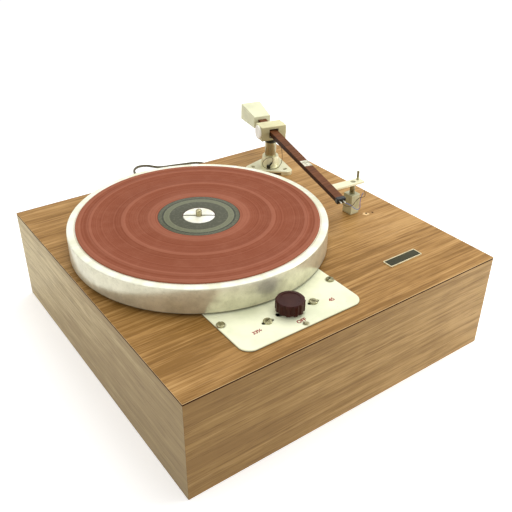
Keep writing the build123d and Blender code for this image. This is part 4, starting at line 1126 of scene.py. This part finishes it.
@dataclass
class FineWires(Assembly):
    """The tonearm's own wire and the two short leads at its head."""

    diameter: float = 0.0008
    facets: int = 3
    smooth_angle: float = math.radians(60.0)
    arm_route: tuple[Point, ...] = (
        (138.8, 125.9, 139.5), (139.6, 124.6, 144.6), (135.8, 123.4, 149.4), (129.4, 127.4, 148.0),
        (124.6, 130.8, 141.6), (125.2, 130.2, 135.2), (130.0, 126.4, 131.4), (136.2, 121.8, 130.9),
        (142.0, 117.6, 132.4), (146.4, 114.8, 138.6), (147.6, 113.8, 148.0), (147.2, 114.2, 158.0),
        (145.6, 115.4, 167.5), (144.2, 116.2, 176.4))
    blue_route: tuple[Point, ...] = (
        (100.0, -71.7, 167.7), (100.4, -75.4, 168.2), (103.2, -78.6, 166.2), (106.0, -81.0, 162.8),
        (109.2, -83.3, 160.8), (111.9, -85.0, 163.4), (110.8, -84.3, 170.6), (111.6, -84.9, 178.6),
        (113.3, -86.0, 183.6))
    brown_route: tuple[Point, ...] = (
        (95.3, -70.9, 167.7), (95.8, -74.8, 167.0), (99.2, -78.4, 165.6), (103.6, -81.2, 168.0),
        (105.6, -82.6, 173.4), (109.0, -85.0, 178.4), (113.4, -88.0, 178.4), (114.6, -88.8, 183.0),
        (112.6, -87.6, 188.0))

    def wire(self, name: str, route: Iterable[Point], far_end: str, cover: Finish) -> Piece:
        """One wire as a mesh tube along its curve.

        Args:
            name: the wire's name.
            route: its points in millimetres.
            far_end: what is on its far end; not used.
            cover: its finish.

        Returns:
            The tube.
        """
        points = metres(route)
        strand = Strand(name, points, self.diameter, self.facets)
        piece = strand.curve()
        path = strand.line(piece)
        strand.thicken(piece)
        self.shop.take(piece)
        bpy.ops.object.convert(target="MESH")
        piece = bpy.context.object
        self.shop.smooth(piece, self.smooth_angle)
        self.shop.dress(piece, cover.make())
        return piece

    def build(self) -> None:
        """Makes the three wires."""
        grey = Moulded("wire cover", chip(92, 78, 46), chip(128, 114, 78), 0.35)
        blue = Moulded("blue wire cover", chip(104, 118, 176), chip(150, 160, 200), 0.35)
        brown = Moulded("brown wire cover", chip(92, 74, 46), chip(128, 106, 74), 0.35)
        arm = self.wire("arm_cable", self.arm_route, "object", grey)
        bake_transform(arm)
        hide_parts("arm_wire")
        for name, route, cover in (("head_lead_blue", self.blue_route, blue),
                                   ("head_lead_brown", self.brown_route, brown)):
            lead = self.wire(name, route, "bare", cover)
            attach(lead, "tonearm")
            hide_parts("head_wires")


@dataclass
class Box(Assembly):
    """Veneered box: four panels, top, base, glue blocks and the bare badge."""

    edge: float = 0.0003
    badge_edge: float = 0.00012
    badge_centre: Point = (0.120, -0.1527, 0.1248)
    field_size: Point = (0.0482, 0.0115, 0.00025)
    field_lift: float = 0.00002
    field_edge: float = 0.00008

    def badge_field(self) -> None:
        """Makes the dark field inside the badge's raised border."""
        self.shop.rest()
        bpy.ops.mesh.primitive_cube_add(size=1.0, location=(0.0, 0.0, 0.0))
        piece = bpy.context.object
        piece.name = "badge_field"
        piece.scale = self.field_size
        piece.location = self.badge_centre
        piece.location.z += self.field_size[2] / 2 + self.field_lift
        bpy.ops.object.transform_apply(location=True, rotation=True, scale=True)
        self.shop.bevel(piece, self.field_edge, 2)
        self.shop.smooth(piece, self.shop.smooth_angle)
        enamel = Moulded("badge enamel", chip(58, 58, 42), chip(80, 78, 58), 0.5, sheen=0.12)
        self.shop.dress(piece, enamel.make())
        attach(piece, "chassis")

    def build(self) -> None:
        """Dresses the box."""
        top = Veneer("top veneer", Grain.ALONG_X, (3.1, 1.7, 0.0),
                     chipped=((0.1610, -0.0472, 0.0030), (0.1640, -0.0485, 0.0022)),
                     holes=((0.1630, -0.0468), (0.1717, -0.0494)))
        # Painted light: the panels' chips differ by how each face is lit; the left panel's paler, greyer
        # chips stand for glare, and the front, back and right are darker than the top.
        front = Veneer("front veneer", Grain.ALONG_X, (0.4, 8.2, 0.6), chip(186, 151, 100),
                       chip(160, 127, 79), chip(142, 110, 67), painted_light_ends=(-0.075, 0.045), toward=(1.0, 0.0))
        back = replace(front, name="back veneer", shift=(5.4, 2.2, 4.6))
        left = Veneer("left veneer", Grain.ALONG_Y, (1.9, 0.3, 7.7), chip(214, 195, 150), chip(166, 143, 102),
                      chip(146, 124, 86), painted_light_ends=(-0.05, 0.075), toward=(0.0, 1.0), figure=0.5)
        right = replace(front, name="right veneer", grain=Grain.ALONG_Y, shift=(6.2, 4.4, 2.7))
        for node, finish in (("top_board", top), ("plinth_front", front), ("plinth_back", back),
                             ("plinth_left", left), ("plinth_right", right)):
            self.shop.finish(node, "chassis", finish.make(), self.edge, 3, node + "_veneered")
        self.shop.coat(RawBoard("raw board"), "base_board", "glue_blocks")
        metal = Metal("badge metal", chip(226, 214, 176), chip(190, 176, 134), 0.35, 0.5).make()
        self.shop.finish("badge_plate", "chassis", metal, self.badge_edge, name="badge")
        self.badge_field()


@dataclass
class Deck(Assembly):
    """Deck plate with its fasteners and the speed marks."""

    plate_edge: float = 0.0002
    screw_edge: float = 0.00012
    fasteners: tuple[Point, ...] = (
        (-0.1235, -0.1403, 0.0047), (-0.1235, 0.0602, 0.0047), (0.0189, -0.1403, 0.0047),
        (0.0189, 0.0602, 0.0047), (-0.0523, -0.1865, 0.0031))
    marks: tuple[tuple[str, str, Point, float], ...] = (
        ("mark_33", "33⅓", (-0.0998, -0.1695, 0.12604), 0.0060),
        ("mark_off", "OFF", (-0.0530, -0.1805, 0.12604), 0.0064),
        ("mark_45", "45", (-0.0042, -0.1700, 0.12604), 0.0068))

    def build(self) -> None:
        """Dresses the plate, prints the marks and finishes the screws."""
        lacquer = BrushedPlate("deck plate metal", self.fasteners).make()
        self.shop.finish("deck_plate", "chassis", lacquer, self.plate_edge, name="deck_top")
        ink = Moulded("red print", chip(148, 30, 30), chip(160, 52, 44), 0.5).make()
        for name, words, place, size in self.marks:
            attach(self.shop.letters(name, words, size, place, ink), "chassis")
        steel = Metal("screw steel", chip(184, 180, 144), chip(100, 94, 64), 0.24, 0.85, 160.0).make()
        for node in ("deck_screws", "motor_screws", "deck_rivet"):
            self.shop.finish(node, "chassis", steel, self.screw_edge)


@dataclass
class Platter(Assembly):
    """Cast platter, grooved mat, printed disc, centre hub and spindle."""

    axis: Point = (-0.0523, 0.0152, 0.0)
    mat_radius: float = 0.1425
    mat_face: float = 0.1576
    mat_top: float = 0.1596
    ring_shares: Pairs = ((0.345, 0.43), (0.60, 0.635), (0.872, 0.908), (0.958, 1.0))
    ring_rise: float = 0.00022
    ring_slope: float = 0.0005
    mat_chamfer: float = 0.0003
    mat_round: Pairs = ((0.0, 0.0006), (0.0002, 0.0002), (0.0006, 0.0))
    seat_depth: float = 0.0004
    label_radius: float = 0.0483
    label_gap: float = 0.00005
    hub_gap: float = 0.01945
    hub_edge: float = 0.0002
    rim_outline: Pairs = (
        (0.00635, 0.136), (0.024, 0.136), (0.024, 0.1526), (0.1448, 0.1526), (0.146, 0.1514),
        (0.146, 0.1276), (0.1518, 0.1276), (0.1522, 0.1278), (0.1524, 0.1282), (0.1524, 0.1566),
        (0.1522, 0.1574), (0.1517, 0.1579), (0.1510, 0.1581), (0.1439, 0.1581), (0.1436, 0.15795),
        (0.1435, 0.1576), (0.01945, 0.1576), (0.01945, 0.1481), (0.00635, 0.1481), (0.00635, 0.136))
    disc_outline: Pairs = (
        (0.01945, 0.1592), (0.0483, 0.1592), (0.0483, 0.15955), (0.0482, 0.1596), (0.01945, 0.1596),
        (0.01945, 0.1592))

    def mat_outline(self) -> Pairs:
        """Outline of the mat with its rings proud of the grooved zones.

        Returns:
            Radius and height pairs.
        """
        radius, top = self.mat_radius, self.mat_top
        low = top - self.ring_rise
        outline = [(self.hub_gap, self.mat_face), (radius - self.mat_chamfer, self.mat_face),
                   (radius, self.mat_face + self.mat_chamfer)]
        outline += [(radius - inward, top - down) for inward, down in self.mat_round]
        for start, end in reversed(self.ring_shares):
            if end < 1.0:
                outline += [(end * radius + self.ring_slope, low), (end * radius, top)]
            if start > self.ring_shares[0][0]:
                outline += [(start * radius, top), (start * radius - self.ring_slope, low)]
        inner, seat = self.label_radius + self.label_gap, top - self.seat_depth
        return *outline, (inner, top), (inner, seat), (self.hub_gap, seat), (self.hub_gap, self.mat_face)

    def build(self) -> None:
        """Makes the turned pieces and finishes hub and shaft."""
        turned = (
            ("platter_rim", self.rim_outline, 320, "platter", TurnedRim("platter metal", self.axis)),
            ("mat", self.mat_outline(), 288, "platter_mat",
             MatRubber("mat rubber", self.axis, self.mat_radius, self.ring_shares)),
            ("strobe_disc", self.disc_outline, 192, "strobe_label",
             StrobePrint("printed disc", self.axis, self.label_radius)))
        for name, outline, steps, node, finish in turned:
            piece = self.shop.lathe(name, outline, self.axis, steps)
            self.shop.dress(piece, finish.make())
            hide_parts(node)
            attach(piece, "platter_set")
        self.shop.finish("hub_45", "hub", HubMetal("hub metal").make(), self.hub_edge, name="centre_hub")
        steel = Metal("spindle steel", chip(176, 168, 132), chip(116, 108, 78), 0.2, 0.8, 200.0)
        self.shop.coat(steel, "spindle_shaft")


@dataclass
class Mechanism(Assembly):
    """Knob, selector, switch, idlers and motor."""

    knob_edge: float = 0.0003

    def build(self) -> None:
        """Dresses the mechanism."""
        plastic = Moulded("knob plastic", chip(56, 24, 19), chip(74, 42, 34), 0.34, sheen=0.16).make()
        self.shop.finish("speed_knob", "selector", plastic, self.knob_edge, 3, "knob")
        self.shop.coat(Metal("zinc plated steel", chip(196, 192, 160), chip(150, 142, 104), 0.4, 0.8, 120.0),
                       "selector_rocker", "motor_plate")
        self.shop.coat(Metal("ground steel", chip(190, 188, 180), chip(132, 128, 120), 0.28, 0.9, 200.0),
                       "rocker_stud", "idler_axles", "motor_posts", "motor_rotor", "thrust_ball")
        self.shop.coat(Metal("turned alloy", chip(206, 206, 194), chip(160, 160, 148), 0.34, 0.8, 150.0),
                       "idler_33_wheel", "idler_45_wheel", "bearing_well")
        self.shop.coat(Metal("brass", chip(206, 170, 96), chip(150, 116, 58), 0.3, 0.9, 150.0),
                       "drive_pulley", "bearing_bushes")
        self.shop.coat(Moulded("tyre rubber", chip(42, 40, 38), chip(82, 78, 72), 0.7, 0.0, 900.0),
                       "idler_33_tyre", "idler_45_tyre", "motor_grommets")
        self.shop.coat(Laminations("steel stack"), "motor_stator")
        self.shop.coat(Moulded("motor paint", chip(88, 98, 92), chip(122, 130, 120), 0.4, 0.3, 260.0, 0.0001),
                       "motor_bells")
        self.shop.coat(Moulded("switch plastic", chip(40, 38, 36), chip(84, 80, 72), 0.4),
                       "power_switch", "switch_slider")


@dataclass
class ArmStand(Assembly):
    """Three-cornered stand, pillar, bearing and the connector beside it."""

    cast_edge: float = 0.00015
    turned_edge: float = 0.0002

    def build(self) -> None:
        """Dresses the stand."""
        cast = Metal("stand metal", chip(238, 235, 200), chip(212, 208, 168), 0.32, 0.4, 40.0, 700.0)
        turned = Metal("pillar metal", chip(192, 184, 148), chip(144, 134, 100), 0.24, 0.7, 30.0).make()
        self.shop.finish("tonearm_stand", "chassis", cast.make(), self.cast_edge, 3)
        self.shop.finish("arm_pillar", "chassis", turned, self.turned_edge, 3)
        for node in ("tonearm_stand_screws", "yaw_pin"):
            self.shop.dress(self.shop.frame["nodes"][node], turned)
        self.shop.coat(Moulded("connector plastic", chip(38, 38, 28), chip(86, 84, 66), 0.4),
                       "yaw_bearing", "signal_connector")


@dataclass
class ToneArm(Assembly):
    """Bearing housing, wooden arm, weight, head cap and contact pins."""

    yaw: float = math.radians(12.9)
    housing_edge: float = 0.00012
    weight_edge: float = 0.00015
    wood_edge: float = 0.0002
    head_edge: float = 0.0003

    def build(self) -> None:
        """Dresses the tonearm."""
        # The housing's last number is a share of painted shade on its upright faces.
        block = Metal("housing metal", chip(226, 221, 174), chip(204, 197, 150), 0.42, 0.15, 40.0, 800.0,
                      0.55)
        weight = Metal("weight metal", chip(230, 231, 194), chip(214, 214, 178), 0.45, 0.1, 40.0, 900.0)
        caps = Moulded("cap plastic", chip(255, 255, 246), chip(240, 238, 220), 0.35)
        wood = ArmWood("arm wood", math.pi / 2 + self.yaw)
        black = Moulded("head plastic", chip(22, 22, 22), chip(64, 64, 64), 0.22, 0.2)
        for node, body, finish, edge in (
                ("bearing_housing", "arm_yoke", block, self.housing_edge),
                ("pivot_caps", "arm_yoke", caps, self.wood_edge),
                ("arm_beam", "tonearm", wood, self.wood_edge),
                ("counterweight", "tonearm", weight, self.weight_edge),
                ("head_cap", "tonearm", black, self.head_edge)):
            self.shop.finish(node, body, finish.make(), edge, 3)
        self.shop.coat(Metal("silvered plate", chip(238, 236, 214), chip(160, 154, 128), 0.3, 0.5, 260.0),
                       "arm_plate")
        self.shop.coat(Metal("contact metal", chip(252, 250, 228), chip(206, 198, 166), 0.2, 0.6, 300.0),
                       "contact_pins")


@dataclass
class ArmRest(Assembly):
    """Block, rod, bar and pin that carry the resting arm."""

    block_edge: float = 0.00015
    bar_edge: float = 0.0002
    bar_middle: float = 0.130
    bar_cut: float = 0.0105

    def build(self) -> None:
        """Dresses the arm rest, and draws the bar's far end in under the arm, which hides it in the photo."""
        satin = Metal("rest block metal", chip(204, 203, 168), chip(174, 172, 137), 0.36, 0.25, 50.0)
        bright = Metal("rest bar metal", chip(252, 248, 214), chip(238, 234, 196), 0.34, 0.1, 50.0)
        olive = Metal("rest pin brass", chip(158, 152, 116), chip(104, 98, 66), 0.3, 0.6, 200.0).make()
        self.shop.finish("rest_block", "chassis", satin.make(), self.block_edge, 3)
        bar = self.shop.finish("rest_bar", "arm_rest", bright.make(), self.bar_edge, 3)
        for corner in bar.data.vertices:
            if corner.co.x < self.bar_middle:
                corner.co.x += self.bar_cut
        for node in ("rest_rod", "rest_pin"):
            self.shop.finish(node, "arm_rest", olive, self.bar_edge, 3)


def main() -> None:
    """Builds the looks piece by piece."""
    logging.basicConfig(level=logging.INFO, format="%(message)s")
    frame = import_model()
    shop = Workshop(frame)
    for kind in (Studio, MainsLead, FineWires, Box, Deck, Platter, Mechanism, ArmStand, ToneArm, ArmRest):
        kind(shop).build()
        LOG.info("%s done", kind.__name__)
    shop.rest()


if __name__ == "__main__":
    main()
